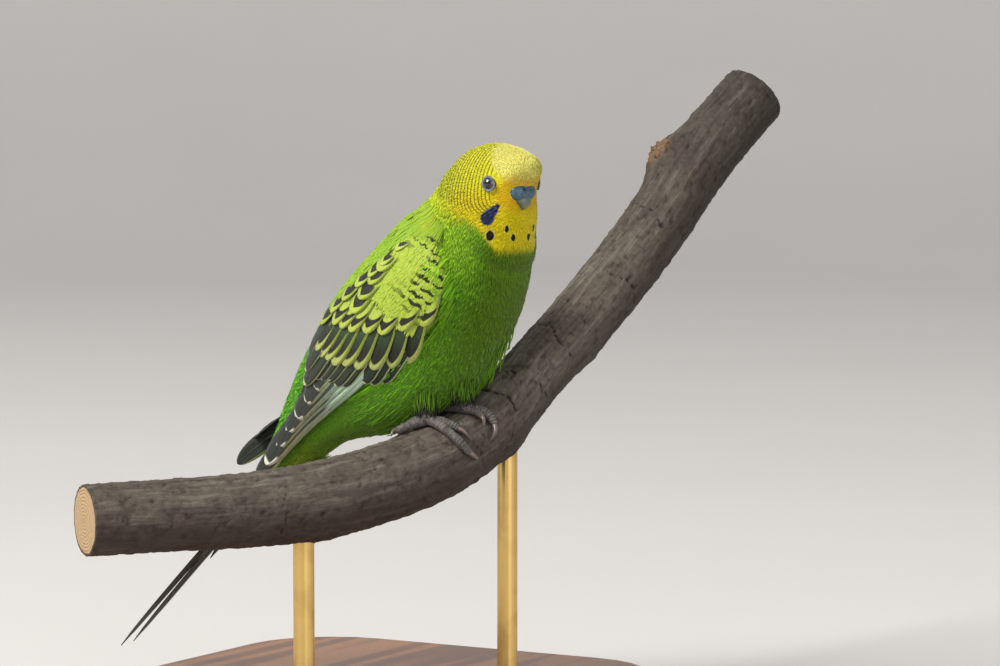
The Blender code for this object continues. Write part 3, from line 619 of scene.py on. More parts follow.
def wingPoint(side, distance, degrees, lift=0.0):
    distance, degrees = np.asarray(distance, float), np.asarray(degrees, float)
    section = np.interp(distance, wingWalk, wingSections)
    angle = degrees if side > 0 else 180 - degrees
    points = outline(section, angle, lift, smoothRows(wingRows, section))
    if side > 0:
        share = smoothStep(wing["leftTipFrom"], wing["leftTipTo"], distance)[..., None]
        _, across, dorsal, _ = bodyFrame(section)
        inwards, offBack, tailwards = wing["leftTipShift"]
        points = points + (across * inwards + dorsal * offBack + np.cross(dorsal, across) * tailwards) * share
    return points


def underWing(section, degrees):
    # Where the wing hides the body, which needs no tufts there
    distance = np.interp(section, wingSections, wingWalk)
    rise = 90 - np.abs((degrees + 90) % 360 - 180)
    low, high = rimAt(distance)
    covered = smoothStep(low + 3, low + 7, rise) * smoothStep(high - 3, high - 7, rise)
    return covered * smoothStep(8, 12, distance) * (section < 15.4)


def skinMap(degrees, section):
    return 0.01 + 0.98 * np.stack([(degrees + 90) % 360 / 360, section / body["lastSection"]], axis=-1)


def skinPoints(section, degrees):
    hollow, where, reach = skinSettings["ventHollow"]
    under = smoothStep(-0.4, -0.95, np.sin(np.radians(degrees)))
    sink = column(skinSettings["sink"], section) + hollow * np.exp(-(((section - where) / reach) ** 2)) * under
    points = clearOfBranch(flesh(section, degrees, -sink))
    caps = []
    for ring, outwards in ((0, -1), (-1, 1)):
        centre = points[ring].mean(axis=0)
        _, across, dorsal, _ = bodyFrame(section[ring, 0])
        rise = np.cross(dorsal, across) * outwards * skinSettings["capRise"]
        rounds = [centre + (points[ring] - centre) * math.cos(a) + rise * math.sin(a)
                  for a in np.radians(skinSettings["capAngles"])]
        caps.append(rounds if outwards > 0 else rounds[::-1])
    return np.concatenate([caps[0], points, caps[1]])


def coatGrowth(points, section, degrees, fromBill):
    # Tufts are short and sparse round the eyes and the cere, and grow backwards from the bill
    nearBill = np.linalg.norm(fromBill, axis=-1)
    share = smoothStep(16, 7, nearBill)[..., None]
    lie = unit(unit(np.gradient(points, axis=0)) * (1 - share) + unit(fromBill) * share)
    length, width, density = (column(skinSettings["coat"], section, k) for k in (1, 2, 3))
    density = density * (1 - underWing(section, degrees))
    for hand in (-1, 1):
        away = np.linalg.norm(points - eyePlace(hand)[0], axis=-1)
        density = density * smoothStep(*skinSettings["eyeBare"], away)
        length = length * (0.45 + 0.55 * smoothStep(*skinSettings["eyeShort"], away))
    length = length * (0.6 + 0.4 * smoothStep(*skinSettings["billShort"], nearBill))
    offCere = turned(points, -turnAngle(0)) - turned(headPoint(*cere["place"]), -turnAngle(0))
    clear = np.linalg.norm(offCere / np.array(cere["bare"]), axis=-1)
    return lie, length, width, density * smoothStep(*skinSettings["cereBare"], clear)


def buildSkin():
    rings, sides = skinSettings["rings"], skinSettings["sides"]
    section = np.linspace(0.0, body["lastSection"], rings)[:, None] + np.zeros((1, sides))
    degrees = -90 + 360 * np.arange(sides)[None, :] / sides + np.zeros((rings, 1))
    points = skinPoints(section, degrees)
    ends = len(skinSettings["capAngles"])
    section = np.concatenate([section[:1]] * ends + [section] + [section[-1:]] * ends)
    degrees = np.concatenate([degrees[:ends], degrees, degrees[:ends]])
    place = ownPlace(points, section)
    cycle, bars = barring(place)
    fromBill = points - headPoint(*cere["place"])
    lie, length, width, density = coatGrowth(points, section, degrees, fromBill)
    turn = np.radians(degrees)
    attributes = [
        ("place", "FLOAT_VECTOR", place), ("lie", "FLOAT_VECTOR", lie),
        ("tint", "FLOAT_COLOR", plumageTint(place, section, degrees)),
        ("way", "FLOAT_VECTOR", np.stack([np.cos(turn), np.sin(turn), section], axis=-1)),
        ("cycle", "FLOAT", cycle), ("bars", "FLOAT", bars), ("coatLength", "FLOAT", length * mm),
        ("coatWidth", "FLOAT", width * mm), ("coatDensity", "FLOAT", density / mm**2),
        ("vary", "FLOAT", np.full(section.shape, 0.2)), ("along", "FLOAT", np.zeros(section.shape)),
        ("section", "FLOAT", section),
    ]
    piece = makeLoft("birdSkin", points, plumage, attributes)
    mapByVertex(piece.data, skinMap(degrees.ravel(), section.ravel()))
    return piece


skin = buildSkin()
print("skin", len(skin.data.polygons))


# Coat of small tufts

tuftShape = {
    "swell": 2.8, "base": 0.55, "thickness": 0.08, "bends": 2, "sizes": (0.75, 1.25), "mapSize": 0.003,
    "quickAmount": 0.35,
}
coatPieces = (
    # name, slot, from section, to section, lift, bend, stray
    ("faceCoat", "head", -1.0, 3.3, 0.04, 0.11, 0.09),
    ("headCoat", "head", 3.3, 6.0, 0.05, 0.12, 0.12),
    ("neckCoat", "neck", 6.0, 8.0, 0.07, 0.14, 0.17),
    ("breastCoat", "torso", 8.0, 10.2, 0.06, 0.13, 0.17),
    ("bellyCoat", "torso", 10.2, 12.4, 0.06, 0.13, 0.18),
    ("ventCoat", "torso", 12.4, 14.6, 0.06, 0.12, 0.18),
    ("rumpCoat", "tail", 14.6, 17.5, 0.04, 0.10, 0.15),
)
coatInputs = {
    "Geometry": "Geometry", "From Section": "Float", "To Section": "Float", "Amount": "Float", "Lift": "Float",
    "Bend": "Float", "Stray": "Float", "Bends": "Int", "Seed": "Int", "Finish": "Material",
}


def coatTree():
    tree = bpy.data.node_groups.new("featherCoat", "GeometryNodeTree")
    graph = Graph(tree)
    for name, kind in coatInputs.items():
        tree.interface.new_socket(name, in_out="INPUT", socket_type="NodeSocket" + kind)
    tree.interface.new_socket("Geometry", in_out="OUTPUT", socket_type="NodeSocketGeometry")
    given = graph.node("NodeGroupInput").outputs
    position = graph.node("GeometryNodeInputPosition").outputs[0]

    def field(name, kind="FLOAT"):
        made = graph.node("GeometryNodeInputNamedAttribute", {"data_type": kind}, {"Name": name})
        return made.outputs["Attribute"]

    def chance(low, high, seed):
        made = graph.node("FunctionNodeRandomValue", {"data_type": "FLOAT"}, {2: low, 3: high, "Seed": seed})
        return graph.number(made.outputs[1])

    section = graph.number(field("section"))
    inside = section.maths("GREATER_THAN", section, given["From Section"])
    inside = inside * section.maths("LESS_THAN", section, given["To Section"])
    density = graph.number(field("coatDensity")) * inside * given["Amount"]
    spread = graph.node("GeometryNodeDistributePointsOnFaces", None,
                        {"Mesh": given["Geometry"], "Density": density, "Seed": given["Seed"]})
    seed = graph.number(given["Seed"])
    vary = chance(0.0, 1.0, seed + 1)

    def stored(geometry, name, kind, value):
        settings = {"data_type": kind, "domain": "POINT"}
        sockets = {"Geometry": geometry, "Name": name, "Value": value}
        return graph.node("GeometryNodeStoreNamedAttribute", settings, sockets).outputs[0]

    # One tuft: a thin three-sided cone laid along Y, full in the middle and bent towards the body
    cone = graph.node("GeometryNodeMeshCone", {"fill_type": "NGON"}, {
        "Vertices": 3, "Side Segments": given["Bends"], "Radius Top": 0.0, "Radius Bottom": 0.5, "Depth": 1.0})
    x, y, z = graph.split(position)
    full = z * tuftShape["swell"] + tuftShape["base"]
    bent = (1 - (1 - z) ** 2.0) * given["Bend"] + y * full * tuftShape["thickness"]
    moved = graph.node("GeometryNodeSetPosition", None,
                       {"Geometry": cone.outputs["Mesh"], "Position": graph.joined(x * full, z, bent)})
    tuft = stored(moved.outputs[0], "tuftPlace", "FLOAT_VECTOR", position)
    axes = graph.node("FunctionNodeAxesToRotation", {"primary_axis": "Z", "secondary_axis": "Y"},
                      {0: spread.outputs["Normal"], 1: field("lie", "FLOAT_VECTOR")})
    stray = graph.number(given["Stray"])
    tilt = graph.joined(graph.number(given["Lift"]) + chance(-0.5, 0.5, seed + 2) * stray,
                        chance(-0.5, 0.5, seed + 3) * stray, chance(-1.0, 1.0, seed + 4) * stray)
    local = graph.node("FunctionNodeEulerToRotation", None, {0: tilt})
    aimed = graph.node("FunctionNodeRotateRotation", {"rotation_space": "LOCAL"},
                       {0: axes.outputs[0], 1: local.outputs[0]})
    length = graph.number(field("coatLength")) * chance(*tuftShape["sizes"], seed + 5)
    width = graph.number(field("coatWidth")) * chance(*tuftShape["sizes"], seed + 6)
    placed = graph.node("GeometryNodeInstanceOnPoints", None, {
        "Points": stored(spread.outputs["Points"], "vary", "FLOAT", vary), "Instance": tuft,
        "Rotation": aimed.outputs[0], "Scale": graph.joined(width, length, length)})
    whole = graph.node("GeometryNodeRealizeInstances", None, {0: placed.outputs[0]})
    final = graph.node("GeometryNodeSetMaterial", None,
                       {"Geometry": whole.outputs[0], "Material": given["Finish"]})
    graph.node("NodeGroupOutput", None, {0: final.outputs[0]})
    return tree


coat = coatTree()


def grown(source, tree, values, name):
    modifier = source.modifiers.new("growing", "NODES")
    modifier.node_group = tree
    for item in tree.interface.items_tree:
        if item.in_out == "INPUT" and item.name in values:
            modifier[item.identifier] = values[item.name]
    depsgraph = bpy.context.evaluated_depsgraph_get()
    mesh = bpy.data.meshes.new_from_object(
        source.evaluated_get(depsgraph), preserve_all_data_layers=True, depsgraph=depsgraph)
    source.modifiers.remove(modifier)
    mesh.name = name
    return addObject(name, mesh)


def growCoat(name, slot, low, high, lift, bend, stray, seed):
    values = {"From Section": low, "To Section": high, "Amount": 1.0,
              "Lift": lift, "Bend": bend, "Stray": stray, "Bends": tuftShape["bends"], "Seed": seed,
              "Finish": plumage}
    piece = grown(skin, coat, values, name)
    mesh = piece.data
    points = (getVectors(mesh, "position") - np.array(foothold)) / mm
    way, tuft = getVectors(mesh, "way"), getVectors(mesh, "tuftPlace")
    place = ownPlace(points, way[:, 2])
    cycle, bars = barring(place)
    setAttribute(mesh, "place", "FLOAT_VECTOR", place)
    setAttribute(mesh, "cycle", "FLOAT", cycle)
    setAttribute(mesh, "bars", "FLOAT", bars)
    setAttribute(mesh, "along", "FLOAT", tuft[:, 1])
    root = skinMap(np.degrees(np.arctan2(way[:, 1], way[:, 0])), way[:, 2])
    mapByVertex(mesh, root + np.stack([tuft[:, 0] + tuft[:, 2], tuft[:, 1]], axis=-1) * tuftShape["mapSize"])
    for spare in ("lie", "coatLength", "coatWidth", "coatDensity", "section", "way", "tuftPlace"):
        if mesh.attributes.get(spare):
            mesh.attributes.remove(mesh.attributes[spare])
    mesh.shade_smooth()
    settle(piece, slot)
    print(name, len(mesh.polygons))


for k, row in enumerate(coatPieces):
    growCoat(*row, seed=11 * k + 3)
settle(skin, "torso", "head", "neck", "torso")


# Vanes: closed thin feathers, whose ring of points runs over the top and back under it

vane = {
    "ring": (-1.0, -0.55, 0.0, 0.55, 1.0, 0.55, 0.0, -0.55), "under": (0, 0, 0, 0, 0, 1, 1, 1),
    "thickness": 0.16, "camber": 0.13, "shaft": 0.05, "roll": -5.0, "sunk": 0.9, "base": 0.5, "blunt": 0.08,
    "barbs": (70.0, 9.0), "barbShade": 0.05, "relief": 0.00006,
}


def towardsTip(rows, power):
    return 1 - (1 - np.linspace(0, 1, rows)) ** power


def tipShape(share, full, base=vane["base"]):
    rounding = np.sqrt(1 - np.clip((share - full) / (1 - full), 0, 1) ** 2)
    return np.minimum(1, base + 1.5 * share) * np.maximum(rounding, vane["blunt"])


def vanePoints(centre, across, out, widths, camber):
    u, under = np.array(vane["ring"]), np.array(vane["under"])
    height = camber * widths[:, None] * (1 - u**2) + vane["shaft"] * (u == 0) - under * vane["thickness"]
    return centre[:, None] + across[:, None] * (widths[:, None] * u)[..., None] + out[:, None] * height[..., None]


def layVane(surface, side, root, tip, width, lift, full, rows, camber, roll=0.0, sunk=vane["sunk"]):
    share = towardsTip(rows, 1.7)
    distance = root[0] + (tip[0] - root[0]) * share
    degrees = root[1] + (tip[1] - root[1]) * share
    height = -sunk + (sunk + lift) * share**0.7
    centre = surface(distance, degrees, height)
    out = unit(surface(distance, degrees, height + 1) - centre)
    along = unit(np.gradient(centre, axis=0))
    out = unit(out - along * dot(out, along)[:, None])
    across = np.cross(along, out) * side
    cosine, sine = math.cos(math.radians(roll)), math.sin(math.radians(roll))
    across, out = across * cosine - out * sine, out * cosine + across * sine
    return vanePoints(centre, across, out, width * tipShape(share, full), camber), share, distance, degrees


def vaneMap(shares):
    # Each vane unrolled in a cell of its own
    count, rows, sides = shares.shape
    cells = math.ceil(math.sqrt(count))
    a, j = np.meshgrid(np.arange(rows - 1), np.arange(sides), indexing="ij")
    left, right = j / sides, j / sides + 1 / sides
    ends = np.array([[0.5, 0.0]] * sides + [[0.5, 1.0]] * sides)
    corners = []
    for k in range(count):
        low, high = shares[k, a, 0], shares[k, a + 1, 0]
        pairs = (left, low), (right, low), (right, high), (left, high)
        quads = np.stack([np.stack(pair, -1) for pair in pairs], axis=2).reshape(-1, 2)
        cell = np.array([k % cells, k // cells])
        corners.append((cell + 0.03 + 0.94 * np.concatenate([quads, ends])) / cells)
    return np.concatenate(corners)


def makeVanes(name, laid, material, seed, fringe=1.0, extra=()):
    # Each vane comes as its points, the share along it, and the place of each row along and round its surface
    chance = np.random.default_rng(seed)
    points = np.stack([row[0] for row in laid])
    count, rows, sides = points.shape[:3]
    whole = np.zeros((count, rows, sides))
    shares, spans, rises = (np.stack([row[k] for row in laid])[:, :, None] + whole for k in (1, 2, 3))
    values = {
        "across": whole + np.array(vane["ring"]), "along": shares,
        "vary": whole + chance.random(count)[:, None, None],
        "span": spans, "rise": rises, "fringe": whole + fringe,
    }
    attributes = [(label, "FLOAT", value) for label, value in values.items()]
    faces = [face for k in range(count) for face in loftFaces(rows, sides, k * rows * sides)]
    print(name, count)
    return makePiece(name, points, faces, material, [*attributes, *extra], vaneMap(shares))


def vaneFinish(name, pattern):
    finish = Finish(name, Roughness=0.5, Sheen_Weight=0.1, Specular_IOR_Level=0.35)
    u, v, vary = finish.value("across"), finish.value("along"), finish.value("vary")
    colour = pattern(finish, u, v, vary)
    many, slant = vane["barbs"]
    comb = ((v * many - abs(u) * slant) + finish.noise(900.0) * 2.0).sine()
    streak = finish.noise(1.0, 2.0, finish.stretched(260.0, 260.0, 900.0))
    colour = finish.bright(colour, 0.90 + vary * 0.14 + comb * vane["barbShade"] + (streak - 0.5) * 0.16)
    shaft = 1 - abs(u).step(0.02, 0.10)
    return finish.done(colour, None, finish.bump(comb * 0.3 + shaft * 2.0 + streak, vane["relief"], 0.8))


plumes = {
    "lime": rgb(0.55, 0.65, 0.19), "pale": rgb(0.63, 0.69, 0.26), "cream": rgb(0.65, 0.68, 0.40),
    "black": rgb(0.09, 0.10, 0.05), "sooty": rgb(0.11, 0.13, 0.10), "slate": rgb(0.19, 0.26, 0.24),
    "mint": rgb(0.78, 0.91, 0.79), "white": rgb(0.84, 0.86, 0.80), "bottle": rgb(0.15, 0.23, 0.12),
    "edge": rgb(0.74, 0.77, 0.58), "grass": rgb(0.42, 0.60, 0.12),
}


def spotted(finish, u, v, vary):
    base = finish.mix(v, plumes["lime"], plumes["pale"])
    distance = (abs(u) / 0.70) ** 2.0 + (abs(v + abs(u) * 0.12 + (vary - 0.5) * 0.06 - 0.70) / 0.19) ** 2.5
    return finish.mix(1 - distance.step(0.8, 1.15), base, plumes["black"])


def crescent(finish, u, v, vary):
    base = finish.mix(v.step(0.3, 0.8), plumes["lime"], plumes["pale"])
    base = finish.mix(abs(u).step(0.6, 0.95) * 0.4, base, plumes["cream"])
    middle = 0.81 - u * u * (0.24 + vary * 0.16) + (vary - 0.5) * 0.05
    band = 1 - (abs(v - middle) / (1.15 - abs(u) * 0.5)).step(0.06, 0.095)
    return finish.mix(band * (1 - abs(u).step(0.80, 0.95)), base, plumes["black"])


def darkCentred(finish, u, v, vary):
    rim = finish.mix(v.step(0.6, 0.95) * 0.7, plumes["pale"], plumes["cream"])
    centre = finish.mix(v.step(0.35, 0.75), plumes["bottle"], plumes["black"])
    distance = (abs(u + 0.04) / (0.80 + vary * 0.10)) ** 2.6
    distance = distance + ((v - 0.25).most(0.0) / (0.62 + vary * 0.07)) ** 2.6
    return finish.mix(1 - distance.step(0.9, 1.1), rim, centre)


def paleEdged(finish, u, v, vary):
    centre = finish.mix(v, plumes["bottle"], plumes["sooty"])
    edge = abs(u).step(0.80, 0.90).most(v.step(0.95, 0.975))
    return finish.mix(edge, centre, plumes["edge"])


def flightFeather(finish, u, v, vary):
    centre = finish.mix(v.step(0.3, 0.9), plumes["slate"], plumes["sooty"])
    span, rise = finish.value("span"), finish.value("rise")
    patch = ((span - 58.0) / 15.0) ** 2.0 + ((rise + 13.0) / 14.0) ** 2.0
    centre = finish.mix((1 - patch.step(0.55, 1.2)) * (u + 0.1).step(-0.6, -0.2) * 0.95, centre, plumes["mint"])
    colour = finish.mix(u.step(0.68, 0.84), centre, finish.mix(v.step(0.4, 0.9), plumes["mint"], plumes["edge"]))
    tip = v.step(0.965, 0.98).most(v.step(0.90, 0.93) * u.step(0.5, 0.65))
    return finish.mix(tip * finish.value("fringe"), colour, plumes["white"])


wingTiers = (
    # name, look, count, first root, last root, first tip, last tip, half width, lift, fullness, steps
    ("primaries", flightFeather, 7, (34, -15), (48, 8), (107.5, 5), (67, 10), 3.3, 0.45, 0.86, 22),
    ("primaryCoverts", paleEdged, 3, (30, -18), (36, -10), (49, -24), (53, -15), 2.3, 0.70, 0.74, 14),
    ("secondaries", paleEdged, 7, (42, -6), (46, 26), (58, -6), (69, 22), 2.4, 0.65, 0.70, 15),
    ("tertials", paleEdged, 4, (42, 22), (36, 52), (70, 20), (63, 48), 3.7, 0.85, 0.66, 15),
    ("greaterCoverts", darkCentred, 9, (22, -13), (40, 38), (39, -28), (59, 28), 3.6, 0.95, 0.60, 14),
    ("medianCoverts", crescent, 7, (14, -11), (31, 38), (26, -21), (48, 28), 3.9, 1.05, 0.56, 13),
    ("lowerScapulars", spotted, 4, (12, 29), (27, 25), (25, 27), (40, 21), 3.7, 1.25, 0.62, 13),
    ("scapulars", spotted, 7, (7, 28), (38, 48), (17, 25), (53, 41), 3.7, 1.35, 0.62, 13),
)
tierJitter = {"size": 0.45, "ways": (1, 1.4, 1, 1.4), "width": 0.06}
tierForm = {
    # camber, roll, size of the first feather against the last, and how far the row of tips bows out
    "scapulars": (0.08, -3.0, 0.62, 0.0), "lowerScapulars": (0.08, -3.0, 1.0, 0.0),
    "greaterCoverts": (0.10, -4.0, 0.85, 4.0), "medianCoverts": (0.10, -4.0, 0.9, 3.5),
}


def buildWingBed(side, label):
    distance = np.linspace(wing["rim"][0][0], wing["rim"][-1][0], wing["coreRings"])[:, None]
    low, high = rimAt(distance)
    degrees = low + (high - low) * np.linspace(0, 1, wing["coreSides"])[None, :]
    distance = distance + np.zeros_like(degrees)
    deep = wing["coreDepth"] + smoothStep(60, 84, distance) * (wing["coreThickness"] - wing["coreDepth"])
    sink = wingSink(distance, degrees) + wing["coreSink"]
    outer = wingPoint(side, distance, degrees, -sink)
    inner = wingPoint(side, distance, degrees, -sink - deep)[:, ::-1]
    finish = Finish(f"{label}WingBed", Roughness=0.8)
    colour = finish.mix(finish.value("span").step(48.0, 58.0), plumes["lime"], plumes["sooty"])
    colour = finish.bright(colour, 0.6 + finish.noise(900.0, 4.0) * 0.5)
    span = [("span", "FLOAT", np.concatenate([distance, distance], axis=1))]
    piece = makeLoft(f"{label}WingBed", np.concatenate([outer, inner], axis=1), finish.done(colour), span)
    settle(piece, f"wing_{label}", f"wing_{label}")


def buildTier(side, label, surface, number, name, count, ends, width, lift, full, steps):
    chance = np.random.default_rng(100 + number)
    camber, roll, first, bow = tierForm.get(name, (vane["camber"], vane["roll"], 1.0, 0.0))
    firstRoot, lastRoot, firstTip, lastTip = np.array(ends, float)
    laid = []
    for k in range(count):
        share = k / (count - 1)
        jitter = chance.normal(0, tierJitter["size"], 4) * tierJitter["ways"]
        bulge = np.array([bow * math.sin(math.pi * share), 0.0])
        root = firstRoot + (lastRoot - firstRoot) * share + bulge * 0.7 + jitter[:2]
        tip = firstTip + (lastTip - firstTip) * share + bulge + jitter[2:] * 0.7
        size = width * (1 + chance.normal(0, tierJitter["width"])) * (first + (1 - first) * share)
        laid.append(layVane(surface, side, root, tip, size, lift, full, steps, camber, roll))
    fringe = 0.0 if side > 0 else 1.0  # the white edges show on the near wing alone
    piece = makeVanes(f"{label}{name[0].upper()}{name[1:]}", laid, wingFinishes[name], 7 * number + 1, fringe)
    settle(piece, f"wing_{label}")


def buildWing(side, label):
    def surface(distance, degrees, height):
        return wingPoint(side, distance, degrees, height - wingSink(distance, degrees))

    buildWingBed(side, label)
    buildWingEdge(side, label, surface)
    for field in tuftFields:
        buildTufts(side, label, *field)
    for number, (name, _, count, *ends, width, lift, full, steps) in enumerate(wingTiers):
        buildTier(side, label, surface, number, name, count, ends, width, lift, full, steps)


def tintedVanes(name, slot, laid, tints, seed, places=((0.0, 0.0, 0.0),), material=plumage, extra=()):
    whole = np.zeros(laid[0][0].shape[:2] + (1,))
    tints = np.asarray(tints)[:, None, None] + whole
    places = np.asarray(places)[:, None, None] + np.zeros((len(laid), 1, 1, 1)) + whole
    extra = [("tint", "FLOAT_COLOR", tints), ("place", "FLOAT_VECTOR", places), *extra]
    settle(makeVanes(name, laid, material, seed, extra=extra), slot)


shoulder = {
    # black strokes: apart along the wing in mm and round it in degrees, their slant, and their half thickness
    # and half length as shares of that
    "apart": 2.5, "round": 12.0, "slant": 0.08, "thick": 0.17, "long": 0.42, "soft": 0.05,
    # ranges in mm along the wing and in degrees round it: the front edge, the upper corner, where strokes thicken
    "front": ((24.0, 28.0), (-3.0, 3.0)), "upper": ((9.0, 13.0), (18.0, 26.0)), "thicker": (9.0, 18.0),
    # the green beside the neck: how far it reaches, its slope with the angle, how deep it lies, and how far painted
    # shade darkens it
    "greenTo": 6.2, "greenSlope": 0.2, "neckSink": 1.4, "neckPaintedShade": 0.5,
}
tuftFields = (
    # name, count, span along the wing, rim of the field as rows of distance, low and high degrees,
    # length, half width, heights of root and tip, whether barred
    ("Shoulder", 1500, (1.5, 27.0), ((0, -17, 34), (12, -17, 30), (27, -17, 21)),
     (4.2, 5.8), (0.36, 0.58), (0.35, 0.95), 1.0),
    ("Mantle", 1300, (0.0, 50.0), ((0, 27, 92), (10, 31, 92), (38, 44, 92), (50, 48, 92)),
     (4.6, 6.6), (0.42, 0.66), (0.35, 1.05), 0.0),
)
tuftForm = {"full": 0.4, "rows": 6, "camber": 0.2, "turn": (-3.5, -0.5), "degreesEachMm": 2.6}


def strokes(finish, colour, vary):
    # Rows and columns of cells, each with one stroke that wanders a little in it
    distance, degrees = finish.value("span"), finish.value("around")
    row = distance - degrees * shoulder["slant"] + (degrees * 0.9).sine() * 0.25 + (vary - 0.5) * 0.3
    row = row / shoulder["apart"]
    k = row.whole()
    place = degrees / shoulder["round"] + (k * 0.5).fract() + (k * 2.7).sine() * 0.23
    j = place.whole()
    wander = ((k * 12.99 + j * 78.23).sine() * 437.58).fract()
    inRow = abs(row - k - 0.5 + (wander - 0.5) * 0.2)
    inColumn = abs(place - j - 0.5)
    thick = (1 - (inColumn * 2.0) ** 2.0 * 0.7) * (0.6 + wander * 0.7)
    thick = thick * (1 + distance.step(*shoulder["thicker"]) * 0.4) * shoulder["thick"]
    long, soft = shoulder["long"], shoulder["soft"]
    stroke = (1 - (inRow - thick).step(-soft, soft)) * (1 - inColumn.step(long - soft, long + soft))
    front, upper = ((1 - distance.step(*onwards)) * (1 - degrees.step(*round))
                    for onwards, round in (shoulder["front"], shoulder["upper"]))
    shown = front.most(upper).most(wander.step(0.82, 0.84) * 0.5)
    past = distance - degrees.most(0.0) * shoulder["greenSlope"] - shoulder["greenTo"]
    return finish.mix(stroke * shown * past.step(-2.0, -1.0) * 0.95, colour, plumageTints["spot"])


strokedPlumage = plumageFinish("strokedPlumage", strokes)


def tuftTint(side, root, reach, barred, chance):
    # Green beside the neck, like the coat there and darkened with painted shade to match its shadowing, and on the
    # shoulder the wing's pale yellow past that
    distance, degrees = root
    grass, lime, pale = (np.array(plumes[shade]) for shade in ("grass", "lime", "pale"))
    green = shoulder["greenTo"] + shoulder["greenSlope"] * max(degrees, 0)
    ripe = smoothStep(green - 1.5, green + 3.0, reach + chance.uniform(-2, 2)) * barred
    section = np.interp(distance, wingWalk, wingSections)
    under = plumageTint(ownPlace(wingPoint(side, *root), section), section, np.array(degrees))
    plain = grass + (lime - grass) * (chance.random() * 0.5 + 0.3 * (1 - barred) * smoothStep(80, 50, degrees))
    near = smoothStep(12.0, 5.0, distance) * barred + 0.25 * smoothStep(8.0, 1.0, distance) * (1 - barred)
    # painted shade: near the neck the tuft takes the coat's tint at reduced brightness
    plain = plain + (under * shoulder["neckPaintedShade"] - plain) * near
    return plain + (lime + (pale - lime) * chance.random() - plain) * ripe


def buildTufts(side, label, name, count, span, rim, lengths, widths, heights, barred):
    # Fine soft tufts, each row lying over the roots of the next
    def surface(distance, degrees, height):
        sink = np.minimum(wingSink(distance, degrees), wing["rimDrop"])
        sink = sink + shoulder["neckSink"] * smoothStep(8.0, 0.0, distance)
        return wingPoint(side, distance, degrees, height - sink)

    chance = np.random.default_rng(41 if barred else 43)
    laid, tints, around = [], [], []
    ring = np.array(vane["ring"])
    rootHeight, tipHeight = heights
    for _ in range(count):
        distance = chance.uniform(*span)
        low, high = rimAt(distance, rim)
        root = (distance, chance.uniform(max(low, rimAt(distance)[0] + 1.0), high))
        tip = (distance + chance.uniform(*lengths), root[1] + chance.uniform(*tuftForm["turn"]))
        width = chance.uniform(*widths)
        laid.append(layVane(surface, side, root, tip, width, tipHeight, tuftForm["full"], tuftForm["rows"],
                            tuftForm["camber"], sunk=-rootHeight))
        around.append(laid[-1][3][:, None] - ring * width * tuftForm["degreesEachMm"])
        tints.append(tuftTint(side, root, tip[0], barred, chance))
    material = strokedPlumage if barred else plumage
    extra = [("around", "FLOAT", np.stack(around))]
    tintedVanes(f"{label}{name}", f"wing_{label}", laid, tints, 42, material=material, extra=extra)


edgePlumes = {
    "count": 620, "span": (5, 66), "before": (-11.0, -2.0), "length": (5.0, 9.0), "turn": (-2.0, 3.0),
    "width": (0.20, 0.40), "lift": 1.2, "full": 0.35, "rows": 6, "camber": 0.3, "sunk": 1.6, "tintTurn": 12.0,
}


def buildWingEdge(side, label, surface):
    # Soft green plumes of the flank, which lie over the wing's front edge
    chance = np.random.default_rng(51)
    laid, tints, places = [], [], []
    for _ in range(edgePlumes["count"]):
        distance = chance.uniform(*edgePlumes["span"])
        root = (distance, rimAt(distance)[0] + chance.uniform(*edgePlumes["before"]))
        tip = (distance + chance.uniform(*edgePlumes["length"]), root[1] + chance.uniform(*edgePlumes["turn"]))
        laid.append(layVane(
            surface, side, root, tip, chance.uniform(*edgePlumes["width"]), edgePlumes["lift"],
            edgePlumes["full"], edgePlumes["rows"], edgePlumes["camber"], sunk=edgePlumes["sunk"]))
        section = np.interp(distance, wingWalk, wingSections)
        places.append(ownPlace(wingPoint(side, *root), section))
        tints.append(plumageTint(places[-1], section, np.array(root[1] - edgePlumes["tintTurn"])))
    tintedVanes(f"{label}WingEdge", "torso", laid, tints, 52, places)


wingFinishes = {name: vaneFinish(name, look) for name, look, *_ in wingTiers}
buildWing(-1, "right")
buildWing(1, "left")


# Longer plumes that stand off the body: over the legs and along the belly

plume = {"rows": 6, "droop": 0.12, "full": 0.35, "base": 0.4, "camber": 0.25}
bellyPlumes = {
    "length": (4.0, 7.5), "width": (0.14, 0.26), "sunk": 0.6, "stand": (0.3, 1.3), "stray": 0.07,
    # from and to section, from and to degrees, how many, how far they stand out
    "fields": (
        (9.4, 12.4, -90, -25, 380, 0.40), (10.8, 12.4, -150, -90, 160, 0.10), (14.6, 16.4, -150, -30, 160, 0.14),
    ),
}


def layPlume(root, way, out, length, width):
    share = towardsTip(plume["rows"], 1.4)
    centre = root + way * (length * share)[:, None] - out * (plume["droop"] * length * share**2)[:, None]
    along = unit(np.gradient(centre, axis=0))
    out = unit(out - along * dot(out, along)[:, None])
    widths = width * tipShape(share, plume["full"], plume["base"])
    return vanePoints(centre, np.cross(along, out), out, widths, plume["camber"]), share, share * length, share * 0


def buildBellyPlumes():
    chance = np.random.default_rng(61)
    laid, tints, places = [], [], []
    sunk = -bellyPlumes["sunk"]
    for low, high, first, last, count, stand in bellyPlumes["fields"]:
        for _ in range(count):
            section, degrees = chance.uniform(low, high), chance.uniform(first, last)
            point, onwards, lifted = (flesh(np.array(section + a), np.array(degrees), np.array(lift))
                                      for a, lift in ((0, sunk), (0.1, sunk), (0, sunk + 1)))
            out = unit(lifted - point)
            away = out * stand * chance.uniform(*bellyPlumes["stand"])
            way = unit(unit(onwards - point) + away + chance.normal(0, bellyPlumes["stray"], 3))
            length, width = chance.uniform(*bellyPlumes["length"]), chance.uniform(*bellyPlumes["width"])
            laid.append(layPlume(point, way, out, length, width))
            places.append(ownPlace(point, section))
            tints.append(plumageTint(places[-1], np.array(section), np.array(degrees)))
    tintedVanes("bellyPlumes", "torso", laid, tints, 62, places)


buildBellyPlumes()


